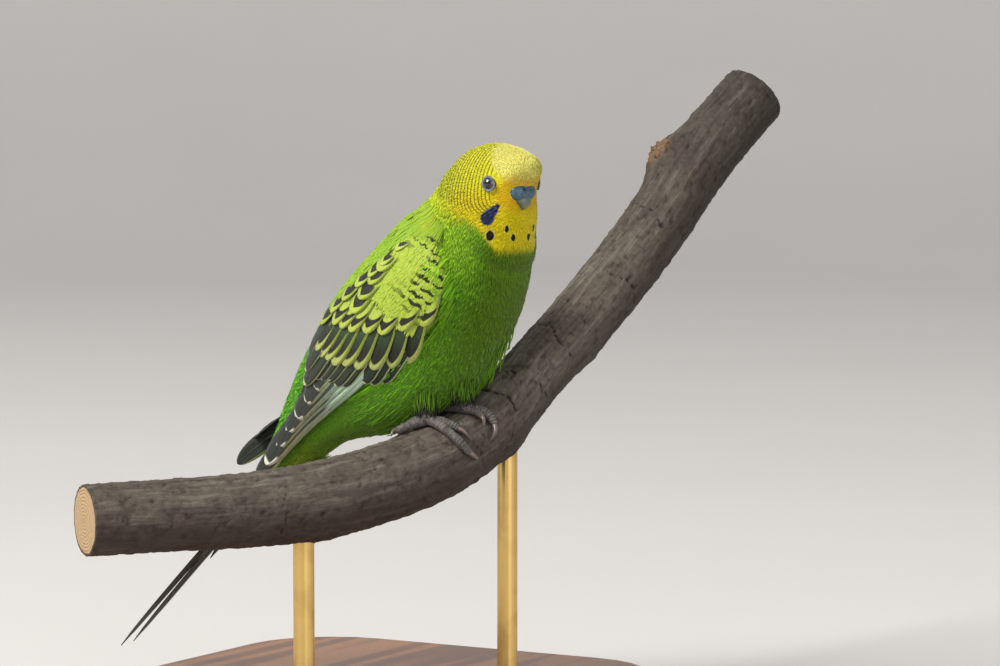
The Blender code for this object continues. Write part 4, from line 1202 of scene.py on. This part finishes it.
# Tail: graduated pairs of long vanes

tail = {
    "root": (0.0, 54.0, -12.0), "tip": (0.0, 117.5, -76.0), "lengths": (1.0, 0.56, 0.50, 0.44, 0.39, 0.34),
    "widths": (2.5, 2.9, 3.1, 3.1, 3.0, 2.8), "fan": (0.8, 1.5), "apart": (1.2, 0.25), "step": 0.62,
    "overlap": 0.25, "shorter": 0.985, "arch": 0.6, "rows": 34, "camber": 0.10,
    "breadth": ((0, 0.6), (0.2, 0.95), (0.5, 1), (0.8, 0.78), (0.93, 0.5), (1, 0.08)),
}


def tailFinish(finish, u, v, vary):
    dark = finish.mix(v, rgb(0.07, 0.13, 0.14), rgb(0.10, 0.11, 0.10))
    edge = abs(u).step(0.6, 1.0) * 0.6
    return finish.mix(edge, dark, rgb(0.16, 0.26, 0.22))


def buildTail():
    root, tip = (np.array(tail[name], float) for name in ("root", "tip"))
    way = unit(tip - root)
    side = np.array([1.0, 0, 0])
    out = np.cross(side, way)
    laid = []
    share = towardsTip(tail["rows"], 1.4)
    arch = out * (tail["arch"] * np.sin(math.pi * share))[:, None]
    for k, (length, width) in enumerate(zip(tail["lengths"], tail["widths"])):
        for hand in (-1, 1):
            angle = math.radians((tail["fan"][0] + tail["fan"][1] * k) * hand)
            along = way * math.cos(angle) + side * math.sin(angle)
            across = side * math.cos(angle) - way * math.sin(angle)
            under = tail["step"] * k + (tail["overlap"] if hand > 0 else 0)
            start = root + side * hand * (tail["apart"][0] + tail["apart"][1] * k) - out * under
            reach = np.linalg.norm(tip - root) * length * (tail["shorter"] if hand > 0 else 1.0)
            centre = start + along * (reach * share)[:, None] + arch
            each = np.broadcast_to(across, centre.shape), np.broadcast_to(out, centre.shape)
            points = vanePoints(centre, *each, width * column(tail["breadth"], share), tail["camber"])
            laid.append((points, share, share * reach, share * 0))
    piece = makeVanes("tailFeathers", laid, vaneFinish("tailFeathers", tailFinish), 5)
    settle(piece, "tail", "tail")


buildTail()


# Face: eyes in their lids, cere and bill

def fullTurn(sides):
    return 2 * math.pi * np.arange(sides) / sides


def eyeFinish():
    finish = Finish("eyeGloss", Roughness=0.06, Coat_Weight=1.0, Coat_Roughness=0.02, IOR=1.4)
    reach = finish.value("fromAxis")
    fibres = finish.noise(1.0, 3.0, finish.stretched(2500.0, 2500.0, 2500.0))
    iris = finish.mix(fibres, rgb(0.13, 0.14, 0.17), rgb(0.30, 0.32, 0.38))
    colour = finish.mix(reach.step(1.05, 1.17), rgb(0.012, 0.012, 0.015), iris)
    return finish.done(finish.mix(reach.step(1.35, 1.5), colour, rgb(0.05, 0.05, 0.06)))


def lidFinish():
    finish = Finish("eyelid", Roughness=0.55)
    grain = finish.noise(2600.0, 4.0)
    colour = finish.mix(grain.step(0.3, 0.7), rgb(0.26, 0.27, 0.32), rgb(0.50, 0.50, 0.53))
    return finish.done(colour, None, finish.bump(grain, 0.00008))


def buildEyeball(label, centre, across, over, out, material):
    polar = np.radians(np.concatenate([[1.5], np.linspace(4, 176, eye["rings"]), [178.5]]))
    angle = fullTurn(eye["sides"])
    ways = across * np.cos(angle)[:, None] + over * np.sin(angle)[:, None]
    swell, reach = eye["cornea"]
    radius = eye["radius"] * (1 + swell * np.exp(-((polar / reach) ** 2)))
    rings = centre + out * (np.cos(polar) * radius)[:, None, None] + ways * (np.sin(polar) * radius)[:, None, None]
    far = 3.0 * (polar > math.pi / 2)  # keeps the pupil and iris off the back half
    fromAxis = (eye["radius"] * np.sin(polar) + far)[:, None] + 0 * angle
    ball = makeLoft(f"{label}Eyeball", rings, material, [("fromAxis", "FLOAT", fromAxis)])
    settle(ball, f"eye_{label}", f"eye_{label}")


def buildEyelid(label, surface, across, over, out, material):
    turn, tube = (fullTurn(sides) for sides in eye["lidSides"])
    wide, high = eye["lidOval"]
    folds = 1 + sum(size * np.sin(turn * many + start) for size, many, start in eye["lidFolds"])
    tall = np.sin(turn) * (1 + high * np.sin(turn) ** 2)
    spoke = across * (np.cos(turn) * wide)[:, None] + over * tall[:, None]
    thick = (eye["lidThickness"] * folds)[:, None]
    wide, high = eye["lidSection"]
    reach = eye["lid"] + np.cos(tube) * thick * wide
    rise = eye["lidHeight"] + np.sin(tube) * thick * high
    loops = surface + spoke[:, None] * reach[..., None] + out * rise[..., None]
    settle(makeClosedLoft(f"{label}Eyelid", loops, material), "head")


def buildEyes():
    gloss, skinLid = eyeFinish(), lidFinish()
    for hand, label in ((-1, "right"), (1, "left")):
        surface, back, out = eyePlace(hand)
        back = unit(back - surface)
        across = unit(back - out * dot(back, out))
        over = np.cross(out, across)
        buildEyeball(label, surface - out * eye["depth"], across, over, out, gloss)
        buildEyelid(label, surface, across, over, out, skinLid)


def cereFinish():
    finish = Finish("cereSkin", Roughness=0.38, Coat_Weight=0.25, Coat_Roughness=0.3)
    grain = finish.noise(1500.0, 4.0)
    colour = finish.mix(grain.step(0.3, 0.75), rgb(0.12, 0.25, 0.34), rgb(0.23, 0.36, 0.42))
    # The nostril hollows are painted near-black, painted shade inside them
    colour = finish.mix(finish.value("pit"), colour, rgb(0.04, 0.05, 0.06))
    return finish.done(colour, None, finish.bump(grain, 0.00003))


def buildCere():
    # Two blended lobes, found by stepping outwards along each way, with a nostril in each
    polar, turn = np.radians(np.linspace(2.0, 178.0, cere["rows"]))[:, None], fullTurn(cere["sides"])
    ways = np.stack([np.cos(polar) + 0 * turn, np.sin(polar) * np.cos(turn), np.sin(polar) * np.sin(turn)], axis=-1)
    inside = np.zeros(ways.shape[:2])
    for step in np.linspace(*cere["search"]):
        near = 0
        for hand in (-1, 1):
            fromLobe = (ways * step - np.array([cere["spread"] * hand, 0, 0])) / np.array(cere["lobe"])
            near = near + np.exp(-cere["blend"] * (np.linalg.norm(fromLobe, axis=-1) - 1))
        inside = np.where(cere["grow"] - np.log(near) / cere["blend"] < 0, step, inside)
    forward, left, up = cere["place"]
    flat = ways * inside[..., None] + np.array([left, -forward, up])
    pit = np.zeros(inside.shape)
    forward, left, up = cere["nostril"]
    rimRadius, rimReach, rimHeight = cere["rim"]
    for hand in (-1, 1):
        away = np.linalg.norm(flat - np.array([left * hand, -forward, up]), axis=-1)
        away = np.linalg.norm(flat - flat[np.unravel_index(np.argmin(away), away.shape)], axis=-1)
        hollow = np.exp(-((away / cere["nostrilRadius"]) ** 2))
        dent = cere["nostrilDepth"] * hollow - rimHeight * np.exp(-(((away - rimRadius) / rimReach) ** 2))
        pit = pit + hollow
        flat = flat - ways * dent[..., None]
    # pit marks the nostril hollows for their painted shade
    pit = [("pit", "FLOAT", np.clip(pit * 1.6, 0, 1))]
    settle(makeLoft("cereSkin", turned(flat, turnAngle(0)), cereFinish(), pit), "cere", "cere")


bill = {
    # forward, up, half width, half height
    "upper": ((21.4, 64.0, 3.0, 2.3), (24.6, 63.8, 3.3, 2.3), (26.5, 62.9, 2.8, 1.8), (26.9, 61.7, 2.0, 1.3),
              (26.5, 60.8, 1.15, 0.8), (25.9, 60.1, 0.25, 0.25)),
    "lower": ((20.4, 61.8, 2.2, 1.1), (23.0, 61.4, 2.0, 1.0), (24.5, 60.9, 1.4, 0.7), (25.1, 60.6, 0.6, 0.3)),
    "rings": 60, "sides": 40, "least": 0.05, "ridge": (0.10, 0.5),
}


def billFinish():
    finish = Finish("horn", Roughness=0.34, Coat_Weight=0.2, Coat_Roughness=0.25)
    along, across = finish.value("along"), finish.value("across")
    lines = finish.noise(1.0, 3.0, finish.stretched(900.0, 900.0, 2400.0))
    colour = finish.mix(along.step(0.3, 0.8), rgb(0.34, 0.41, 0.37), rgb(0.40, 0.40, 0.22))
    # Both flanks of the bill darker: painted shade on its rounded sides
    colour = finish.mix(abs(across).step(0.5, 1.0) * 0.7, colour, rgb(0.22, 0.28, 0.25))
    colour = finish.bright(colour, 0.75 + lines * 0.45)
    return finish.done(colour, None, finish.bump(lines, 0.00005))


def buildBill():
    material = billFinish()
    side = np.array([1.0, 0, 0])
    angle = fullTurn(bill["sides"])
    high, reach = bill["ridge"]
    ridge = 1 + high * np.exp(-(((angle - math.pi / 2) / reach) ** 2))
    for name in ("upper", "lower"):
        number = np.linspace(0, len(bill[name]) - 1, bill["rings"])
        forward, up, *sizes = smoothRows(bill[name], number).T
        width, height = (np.maximum(size, bill["least"])[:, None] for size in sizes)
        centre = np.stack([0 * forward, -forward, up], axis=-1)
        over = np.cross(side, unit(np.gradient(centre, axis=0)))
        rings = centre[:, None] + side * (width * np.cos(angle))[..., None]
        rings = rings + over[:, None] * (height * np.sin(angle) * ridge)[..., None]
        share = (number / number[-1])[:, None] + 0 * angle
        attributes = [("along", "FLOAT", share), ("across", "FLOAT", np.cos(angle) + 0 * share)]
        piece = makeLoft(f"{name}Bill", turned(rings, turnAngle(0)), material, attributes)
        settle(piece, f"bill_{name}", f"bill_{name}")


buildEyes()
buildCere()
buildBill()
print("face")


# Feet: scaled toes gripping the bark, with separate claws

feet = {
    # share of the branch's length, degrees round it, and four toes, each as mm along and degrees round
    "right": (0.433, 83, (
        ((0.2, 82), (1.6, 42), (4.5, 10), (7.4, -5)), ((0.6, 82), (4.2, 58), (5.9, 45), (7.8, 22)),
        ((-0.4, 85), (-7.0, 95), (-11.5, 97), (-15.0, 94)), ((-0.2, 86), (-1.5, 114), (-2.5, 138), (-3.0, 158)))),
    "left": (0.493, 66, (
        ((0.4, 66), (5.4, 46), (4.6, 24), (-0.6, 9)), ((0.2, 66), (2.6, 54), (2.4, 43), (-0.6, 29)),
        ((-0.4, 68), (-3.5, 96), (-4.5, 122), (-5.0, 142)), ((0.4, 68), (2.5, 100), (3.5, 126), (4.0, 146)))),
    "toeRadii": (1.42, 1.08), "toeRings": 54, "toeSides": 22, "clearance": 0.45, "scute": 0.85,
    "plateHeight": 0.14, "grooveDepth": 0.05, "padHeight": 0.16,
    "clawRadii": ((0, 0.88), (0.4, 0.66), (0.8, 0.32), (1.0, 0.06)), "clawRise": ((0.1,), (0.95,), (0.2,)),
    "clawStart": 1.72, "clawRings": 30, "clawSides": 16,
    "ankle": 2.0, "legTop": (-1.0, -1.5, 7.5), "legRings": 30,
    "legRadii": ((-0.22, 0.6), (-0.12, 1.6), (0.0, 2.0), (0.5, 1.7), (1.0, 2.2)),
}


def skinFinish():
    finish = Finish("scaledSkin", Roughness=0.55, Specular_IOR_Level=0.4)
    plate, groove = finish.value("plate"), finish.value("groove")
    fine = finish.node("ShaderNodeTexVoronoi", {"feature": "DISTANCE_TO_EDGE"},
                       {"Vector": finish.objectPlace(), "Scale": 2300.0})
    net = finish.number(fine.outputs["Distance"]).step(0.0, 0.16)
    colour = finish.mix(finish.noise(900.0, 3.0).step(0.3, 0.7), rgb(0.30, 0.29, 0.29), rgb(0.44, 0.41, 0.40))
    colour = finish.mix(plate.step(0.4, 1.0) * 0.8, colour, rgb(0.60, 0.57, 0.53))
    # Dark lines of the scale net and dark grooves between plates: painted shade in the creases
    colour = finish.mix((1 - net) * 0.5, colour, rgb(0.18, 0.16, 0.16))
    colour = finish.mix(groove, colour, rgb(0.13, 0.11, 0.11))
    return finish.done(colour, None, finish.bump(net + plate, 0.00009))


def clawFinish():
    finish = Finish("clawHorn", Roughness=0.3, Coat_Weight=0.3, Coat_Roughness=0.2)
    streak = finish.noise(1.0, 3.0, finish.stretched(700.0, 700.0, 700.0))
    colour = finish.mix(finish.value("along").step(0.2, 1.0), rgb(0.43, 0.37, 0.33), rgb(0.27, 0.23, 0.21))
    colour = finish.bright(colour, 0.75 + streak * 0.5)
    return finish.done(colour, None, finish.bump(streak, 0.00004))


def joinedLofts(name, lofts, material, labels):
    points, faces, values, start = [], [], [], 0
    for rings, lined in lofts:
        count, sides = rings.shape[:2]
        faces += loftFaces(count, sides, start)
        points.append(rings.reshape(-1, 3))
        values.append([np.broadcast_to(value, (count, sides)).ravel() for value in lined])
        start += count * sides
    attributes = [(label, "FLOAT", np.concatenate(lined)) for label, lined in zip(labels, zip(*values))]
    return makePiece(name, np.concatenate(points), faces, material, attributes)


def roundTube(points, radii, sides, top):
    along = unit(np.gradient(points, axis=0))
    over = unit(top - along * dot(top, along)[:, None])
    angle = fullTurn(sides)
    ways = np.cross(along, over)[:, None] * np.cos(angle)[:, None] + over[:, None] * np.sin(angle)[:, None]
    return points[:, None] + ways * radii[:, None, None], angle


def scuted(centre, radii, top, length):
    rings, angle = roundTube(centre, radii, feet["toeSides"], top)
    walked = np.concatenate([[0], np.cumsum(np.linalg.norm(np.diff(centre, axis=0), axis=-1))])[:, None]
    step = walked / feet["scute"] % 1.0
    upper = smoothStep(-0.2, 0.45, np.sin(angle))
    plate = (1 - step) * smoothStep(0.0, 0.16, step) * upper
    groove = smoothStep(0.14, 0.0, step) * upper * 0.8
    pad = feet["padHeight"] * np.maximum(-np.sin(angle), 0) * np.abs(np.sin(walked / length * math.pi * 3))
    outwards = unit(rings - centre[:, None])
    rings = rings + outwards * (feet["plateHeight"] * plate - feet["grooveDepth"] * groove + pad)[..., None]
    return rings, (plate, groove)


def buildFoot(label, outwards):
    share, degrees, toes = feet[label]
    skinScale, horn = footFinishes

    def onBark(toe, row, rise):
        along, angle = smoothRows(toe, row).T
        at = share + along / branch["length"]
        centre = barkPoint(at, angle, feet["clearance"] + rise)
        return centre, unit(centre - branchFrame(at)[0])

    toeLofts, clawLofts = [], []
    first, last = feet["toeRadii"]
    for toe in toes:
        part = np.linspace(0, 1, feet["toeRings"])
        radius = first + (last - first) * part
        centre, top = onBark(toe, 2 * part, radius)
        joints = 1 + 0.05 * np.cos(part * math.pi * 6)
        radius = radius * joints * np.sqrt(1 - 0.75 * smoothStep(0.93, 1.0, part))
        toeLofts.append(scuted(centre, radius, top, np.linalg.norm(centre[-1] - centre[0])))
        part = np.linspace(0, 1, feet["clawRings"])
        radius = column(feet["clawRadii"], part)
        row = np.linspace(feet["clawStart"], 3, feet["clawRings"])
        centre, top = onBark(toe, row, radius + smoothRows(feet["clawRise"], part * 2)[:, 0])
        rings, angle = roundTube(centre, radius, feet["clawSides"], top)
        clawLofts.append((rings, (part[:, None],)))
    sole = barkPoint(np.array(share), np.array(float(degrees)), np.array(feet["clearance"] + feet["ankle"]))
    forward, outward, up = feet["legTop"]
    top = sole + np.array([outward * outwards, -forward, up])
    part = np.linspace(feet["legRadii"][0][0], 1, feet["legRings"])
    centre = sole + (top - sole) * part[:, None]
    front = np.broadcast_to([0.0, -1.0, 0.0], centre.shape)
    toeLofts.append(scuted(centre, column(feet["legRadii"], part), front, up))
    settle(joinedLofts(f"{label}Foot", toeLofts, skinScale, ("plate", "groove")), f"leg_{label}", f"leg_{label}")
    settle(joinedLofts(f"{label}Claws", clawLofts, horn, ("along",)), f"leg_{label}")
    buildTrousers(label, sole, top)


trousers = {
    "width": (0.12, 0.20), "stray": 0.09, "turn": 2.39996,
    # from and to height as shares of the leg, radii, lengths, flare, colour, how many; the colours are greens
    # darkened as painted shade under the belly, and a near-black fringe, painted shade at the foot
    "fields": (
        ((0.8, 1.5), (1.4, 4.2), (3.0, 5.0), 0.08, rgb(0.30, 0.45, 0.05), 480),
        ((0.6, 1.1), (1.4, 3.4), (2.8, 4.2), 0.20, rgb(0.23, 0.33, 0.06), 280),
        ((0.35, 0.75), (1.6, 2.8), (2.0, 3.4), 0.45, rgb(0.12, 0.13, 0.08), 180),
    ),
}


def buildTrousers(label, sole, top):
    # Plumes that hang from the belly over the leg, darkened as painted shade, and a short near-black fringe at the
    # foot, painted shade where belly, leg and branch meet
    chance = np.random.default_rng(71)
    laid, tints = [], []
    for rise, radius, length, flare, colour, count in trousers["fields"]:
        for k in range(count):
            angle = k * trousers["turn"]
            radial = np.array([math.cos(angle), math.sin(angle), 0.0])
            root = sole + (top - sole) * chance.uniform(*rise) + radial * chance.uniform(*radius)
            way = unit(np.array([0.0, 0.0, -1.0]) + radial * flare + chance.normal(0, trousers["stray"], 3))
            laid.append(layPlume(root, way, radial, chance.uniform(*length), chance.uniform(*trousers["width"])))
            tints.append(colour)
    tintedVanes(f"{label}Trousers", "torso", laid, tints, 72)


footFinishes = skinFinish(), clawFinish()
buildFoot("right", -1)
buildFoot("left", 1)
print("feet")


# Branch: bark over the CAD line, broken knot and sawn ends

bark = {
    "rings": 340, "sides": 144, "endRings": 14,
    # grooves round the bark: share of the length, first and last degrees, depth, half width in mm
    "grooves": ((0.555, 20, 150, 0.5, 0.5), (0.60, -20, 80, 0.35, 0.35), (0.47, -30, 60, 0.25, 0.3),
                (0.66, 10, 120, 0.4, 0.4), (0.74, -40, 60, 0.3, 0.35), (0.33, -10, 90, 0.25, 0.3),
                (0.21, -60, 30, 0.3, 0.3), (0.82, 20, 140, 0.3, 0.35)),
    "lumps": 0.34, "pimples": 0.13, "cracks": 0.35, "endBulge": 0.25, "grainRadius": 10, "grainStretch": 0.1,
    "stub": (0.885, 112), "stubReach": (6.0, 34.0),
    # share of the length, brightness
    "tone": ((0, 0.76), (0.4, 0.78), (0.55, 0.98), (0.7, 1.1), (0.8, 0.7), (1, 0.42)),
}


def barkFinish():
    finish = Finish("bark", Roughness=0.82, Specular_IOR_Level=0.3)
    relief, stub, cut = finish.value("relief"), finish.value("stub"), finish.value("cut")
    broad = finish.noise(90.0, 4.0, roughness=0.6)
    speckle = finish.noise(650.0, 5.0, roughness=0.7)
    grain = finish.noise(1.0, 4.0, finish.stretched(500.0, 500.0, 1500.0))
    streaks = finish.noise(0.55, 4.0, finish.read("grainPlace")["Vector"], roughness=0.65)
    colour = finish.mix(broad.step(0.3, 0.7), rgb(0.32, 0.28, 0.25), rgb(0.38, 0.35, 0.31))
    colour = finish.mix(speckle.step(0.45, 0.75) * 0.4, colour, rgb(0.50, 0.48, 0.43))
    colour = finish.mix(streaks.step(0.50, 0.68) * 0.55, colour, rgb(0.52, 0.50, 0.45))
    colour = finish.mix((1 - streaks.step(0.32, 0.48)) * 0.5, colour, rgb(0.19, 0.16, 0.14))
    colour = finish.bright(colour, finish.value("tone"))
    # Painted shade: the underside of the branch darkened to dark brown
    colour = finish.mix((1 - finish.value("sky").step(-0.5, 0.45)) * 0.7, colour, rgb(0.17, 0.13, 0.11))
    colour = finish.mix((1 - speckle.step(0.28, 0.44)) * 0.4, colour, rgb(0.18, 0.15, 0.12))
    # Painted shade: near-black where the relief is low, in the grooves and cracks
    colour = finish.mix((1 - relief.step(0.15, 0.50)) * 0.85, colour, rgb(0.09, 0.07, 0.06))
    wood = finish.mix(grain, rgb(0.38, 0.29, 0.21), rgb(0.54, 0.42, 0.31))
    colour = finish.mix(stub * speckle.step(0.3, 0.6), colour, wood)
    rings = ((finish.value("fromPith") * 10.0 + broad * 3.0) * (2 * math.pi)).sine().step(-0.2, 1.0)
    sawn = finish.mix(rings, rgb(0.70, 0.60, 0.46), rgb(0.56, 0.45, 0.33))
    rim = finish.value("fromPith").step(0.90, 0.94)
    sawn = finish.mix(rim, sawn, rgb(0.30, 0.23, 0.17))
    colour = finish.mix(cut, colour, sawn)
    rough = speckle * 0.5 + grain * 0.3 + streaks * 0.6
    return finish.done(colour, None, finish.bump(rough, 0.00035, 0.9))


def barkRelief(point):
    lumps = noise.fractal(point * 0.42, 0.9, 2.1, 4) * bark["lumps"] + noise.noise(point * 1.7) * bark["pimples"]
    ridge = 1 - abs(noise.noise(Vector((point.x * 0.8, point.y * 0.8, point.z * 2.1 + 7.0)))) * 2
    return lumps - max(ridge - 0.7, 0) * bark["cracks"]


def grooveRelief(share, degrees, where, low, high, depth, width):
    turn = np.radians(degrees)
    wobble = 1.6 * np.sin(turn * 2 + where * 40) + 0.5 * np.sin(turn * 7 + where * 90)
    off = ((share - where) * branch["length"] + wobble) / width
    middle, half = (low + high) / 2, (high - low) / 2
    away = np.abs((degrees - middle + 180) % 360 - 180)
    held = smoothStep(half + 14, half - 10, away)
    return held * depth * (0.6 * np.exp(-((off + 1.9) ** 2)) - 1.3 * np.exp(-(off**2)))


def brokenKnot(share, degrees):
    where, angle = bark["stub"]
    reach, spread = bark["stubReach"]
    off = (degrees - angle + 180) % 360 - 180
    stub = np.exp(-(((share - where) * branch["length"] / reach) ** 2) - (off / spread) ** 2)
    return smoothStep(0.45, 0.8, stub)


def buildBranch():
    share = np.linspace(0, 1, bark["rings"])[:, None]
    degrees = 360 * np.arange(bark["sides"])[None] / bark["sides"]
    share, degrees = share + 0 * degrees, degrees + 0 * share
    swell = knotSwell(share, degrees)
    plain = barkPoint(share, degrees, swell)
    relief = np.array([[barkRelief(Vector(point)) for point in ring] for ring in plain])
    for groove in bark["grooves"]:
        relief += grooveRelief(share, degrees, *groove)
    broken = brokenKnot(share, degrees)
    for index in zip(*np.nonzero(broken > 0.01)):
        point = Vector(plain[index])
        splinter = noise.noise(Vector((point.x * 0.5, point.y * 0.5, point.z * 1.5)))
        relief[index] += broken[index] * (splinter * 1.5 - 0.5)
    sides = barkPoint(share, degrees, swell + relief)
    inner = np.linspace(0.985, 0.02, bark["endRings"])[:, None, None]
    caps = []
    for ring, at, way in ((0, 0.0, -1), (-1, 1.0, 1)):
        centre, along, *_ = branchFrame(np.array(at))
        caps.append(centre + (sides[ring] - centre) * inner + along * (bark["endBulge"] * way) * (1 - inner**4))
    ends = inner[:, :, 0] + np.zeros((1, bark["sides"]))
    angle = np.radians(degrees)
    up, over = np.cos(angle) * bark["grainRadius"], np.sin(angle) * bark["grainRadius"]
    onSides = np.stack([share * branch["length"] * bark["grainStretch"], up, over], axis=-1)
    onEnds = np.stack([0 * ends - 1, up[0] * ends, over[0] * ends], axis=-1)
    values = {
        "tone": (1.0, column(bark["tone"], share)), "relief": (0.6, np.clip(0.5 + relief * 0.8, 0, 1)),
        # sky is the sine round the branch, positive on top; it sets the painted shade on the underside
        "stub": (0.0, broken), "cut": (1.0, 0 * share), "sky": (1.0, np.sin(angle)),
    }
    attributes = [(name, "FLOAT", np.concatenate([0 * ends + end, value, 0 * ends + end]))
                  for name, (end, value) in values.items()]
    attributes += [("grainPlace", "FLOAT_VECTOR", np.concatenate([onEnds, onSides, onEnds])),
                   ("fromPith", "FLOAT", np.concatenate([ends[::-1], 0 * share + 1, ends]))]
    rings = np.concatenate([caps[0][::-1], sides, caps[1]])
    settle(makeLoft("barkBranch", rings, barkFinish(), attributes), "perch", "perch")


buildBranch()
print("branch")


# Stand: the CAD base and rods with their own finishes

def woodFinish():
    finish = Finish("oiledWood", Coat_Weight=0.35, Coat_Roughness=0.25)
    rings = finish.noise(4.0, 2.0, finish.stretched(0.5, 9.0, 9.0), distortion=0.15)
    pores = finish.noise(1.0, 4.0, finish.stretched(160.0, 2200.0, 2200.0))
    bands = ((rings * 34.0).sine() * 0.5 + 0.5).step(0.1, 0.95)
    colour = finish.mix(bands, rgb(0.42, 0.26, 0.15), rgb(0.58, 0.39, 0.24))
    colour = finish.mix((1 - pores.step(0.34, 0.46)) * 0.6, colour, rgb(0.22, 0.12, 0.07))
    return finish.done(colour, 0.34 + pores * 0.18, finish.bump(pores, 0.00008, 0.6))


def brassFinish():
    finish = Finish("brushedBrass", Metallic=1.0)
    lines = finish.noise(1.0, 3.0, finish.stretched(90.0, 90.0, 6000.0))
    tarnish = finish.noise(120.0, 4.0)
    colour = finish.mix(tarnish.step(0.4, 0.75) * 0.5, rgb(0.86, 0.73, 0.45), rgb(0.66, 0.52, 0.30))
    return finish.done(colour, 0.22 + lines * 0.2, finish.bump(lines, 0.00002, 0.5))


collar = {
    "sides": 64,
    # radius and height of its profile, round which each loop runs
    "profile": (
        (3.15, 0.02), (6.2, 0.02), (6.5, 0.35), (6.5, 1.1), (6.1, 1.5), (4.6, 1.7), (4.1, 2.3), (3.15, 2.5),
    ),
}


def buildStand():
    wood, brass = woodFinish(), brassFinish()
    for name, finish in (("stand_base", wood), ("stand_rod_1", brass), ("stand_rod_2", brass)):
        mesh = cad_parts[name].data
        mesh.materials.clear()
        mesh.materials.append(finish)
    top = (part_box("stand_base")[1].z - foothold.z) / mm
    turn = fullTurn(collar["sides"])
    for k in (1, 2):
        low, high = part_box(f"stand_rod_{k}")
        x, y, _ = (np.array((low + high) / 2) - np.array(foothold)) / mm
        loops = np.stack([
            np.stack([x + radius * np.cos(turn), y + radius * np.sin(turn), top + height + 0 * turn], axis=-1)
            for radius, height in collar["profile"]])
        settle(makeClosedLoft(f"rodCollar{k}", loops, brass), f"stand_rod_{k}")


buildStand()


# Camera and light at the photo's angle

camera = {
    # degrees, mm and the photo's pixels
    "azimuth": -60.0, "elevation": 4.0, "distance": 1100.0, "perPixel": 0.29, "sensor": 36,
    "foothold": (455, 415), "middle": (500, 333),
}


def buildCamera():
    azimuth, elevation = math.radians(camera["azimuth"]), math.radians(camera["elevation"])
    right = Vector((math.cos(azimuth), math.sin(azimuth), 0))
    level = math.cos(elevation)
    back = Vector((math.sin(azimuth) * level, -math.cos(azimuth) * level, math.sin(elevation)))
    up = back.cross(right)
    across = (camera["middle"][0] - camera["foothold"][0]) * camera["perPixel"]
    over = (camera["foothold"][1] - camera["middle"][1]) * camera["perPixel"]
    target = foothold + (right * across + up * over) * mm
    data = bpy.data.cameras.new("camera")
    data.sensor_width = camera["sensor"]
    data.lens = camera["sensor"] * camera["distance"] / (2 * camera["middle"][0] * camera["perPixel"])
    made = addObject("camera", data)
    rotation = Matrix((right, up, back)).transposed().to_4x4()
    made.matrix_world = Matrix.Translation(target + back * camera["distance"] * mm) @ rotation
    bpy.context.scene.camera = made


lights = {
    # name, place, size, power, colour
    "areas": (("keyLight", (-1.72, 0.66, 1.92), 1.32, 92.0, (1.0, 0.98, 0.94)),
              ("fillLight", (-0.5, -1.3, 0.40), 1.0, 5.5, (0.98, 0.98, 1.0))),
    "aim": (0, 0, 0.14), "sky": (0.93, 0.93, 0.95, 1), "skyStrength": 0.5,
}


def buildLights():
    for name, place, size, power, colour in lights["areas"]:
        data = bpy.data.lights.new(name, "AREA")
        data.size, data.energy, data.color = size, power, colour
        way = Vector(lights["aim"]) - Vector(place)
        rotation = way.to_track_quat("-Z", "Y").to_matrix().to_4x4()
        addObject(name, data).matrix_world = Matrix.Translation(Vector(place)) @ rotation
    world = bpy.data.worlds.new("studio")
    world.use_nodes = True
    background = world.node_tree.nodes["Background"].inputs
    background[0].default_value, background[1].default_value = lights["sky"], lights["skyStrength"]
    bpy.context.scene.world = world
    bpy.context.scene.view_settings.view_transform = "Standard"


# metres: a round floor whose rim rises as the backdrop
sweep = {"inner": ((0.01, 0.0), (0.5, 0.0)), "far": 2.4, "bend": 1.6, "bendRings": 24, "high": 2.6, "sides": 96}


def buildFloor():
    finish = Finish("paleFloor", Roughness=0.9)
    high = finish.split(finish.objectPlace())[2].step(0.0, 0.9)
    low = finish.mix(finish.noise(3.0, 3.0), rgb(0.80, 0.79, 0.78), rgb(0.83, 0.82, 0.81))
    material = finish.done(finish.mix(high, low, rgb(0.90, 0.895, 0.89)))
    mesh = bpy.data.meshes.new("floor")
    far, bend, sides = sweep["far"], sweep["bend"], sweep["sides"]
    turn = np.radians(np.linspace(0, 90, sweep["bendRings"]))
    curve = zip(far + bend * np.sin(turn), bend * (1 - np.cos(turn)))
    profile = [*sweep["inner"], *curve, (far + bend, sweep["high"])]
    points = [(out * math.cos(angle), out * math.sin(angle), up)
              for out, up in profile for angle in fullTurn(sides)]
    mesh.from_pydata(points, [], gridFaces(len(profile), sides) + [list(range(sides))])
    mesh.shade_smooth()
    turnOutwards(mesh)
    mesh.flip_normals()
    mesh.materials.append(material)
    addObject("floor", mesh)


buildCamera()
buildLights()
buildFloor()
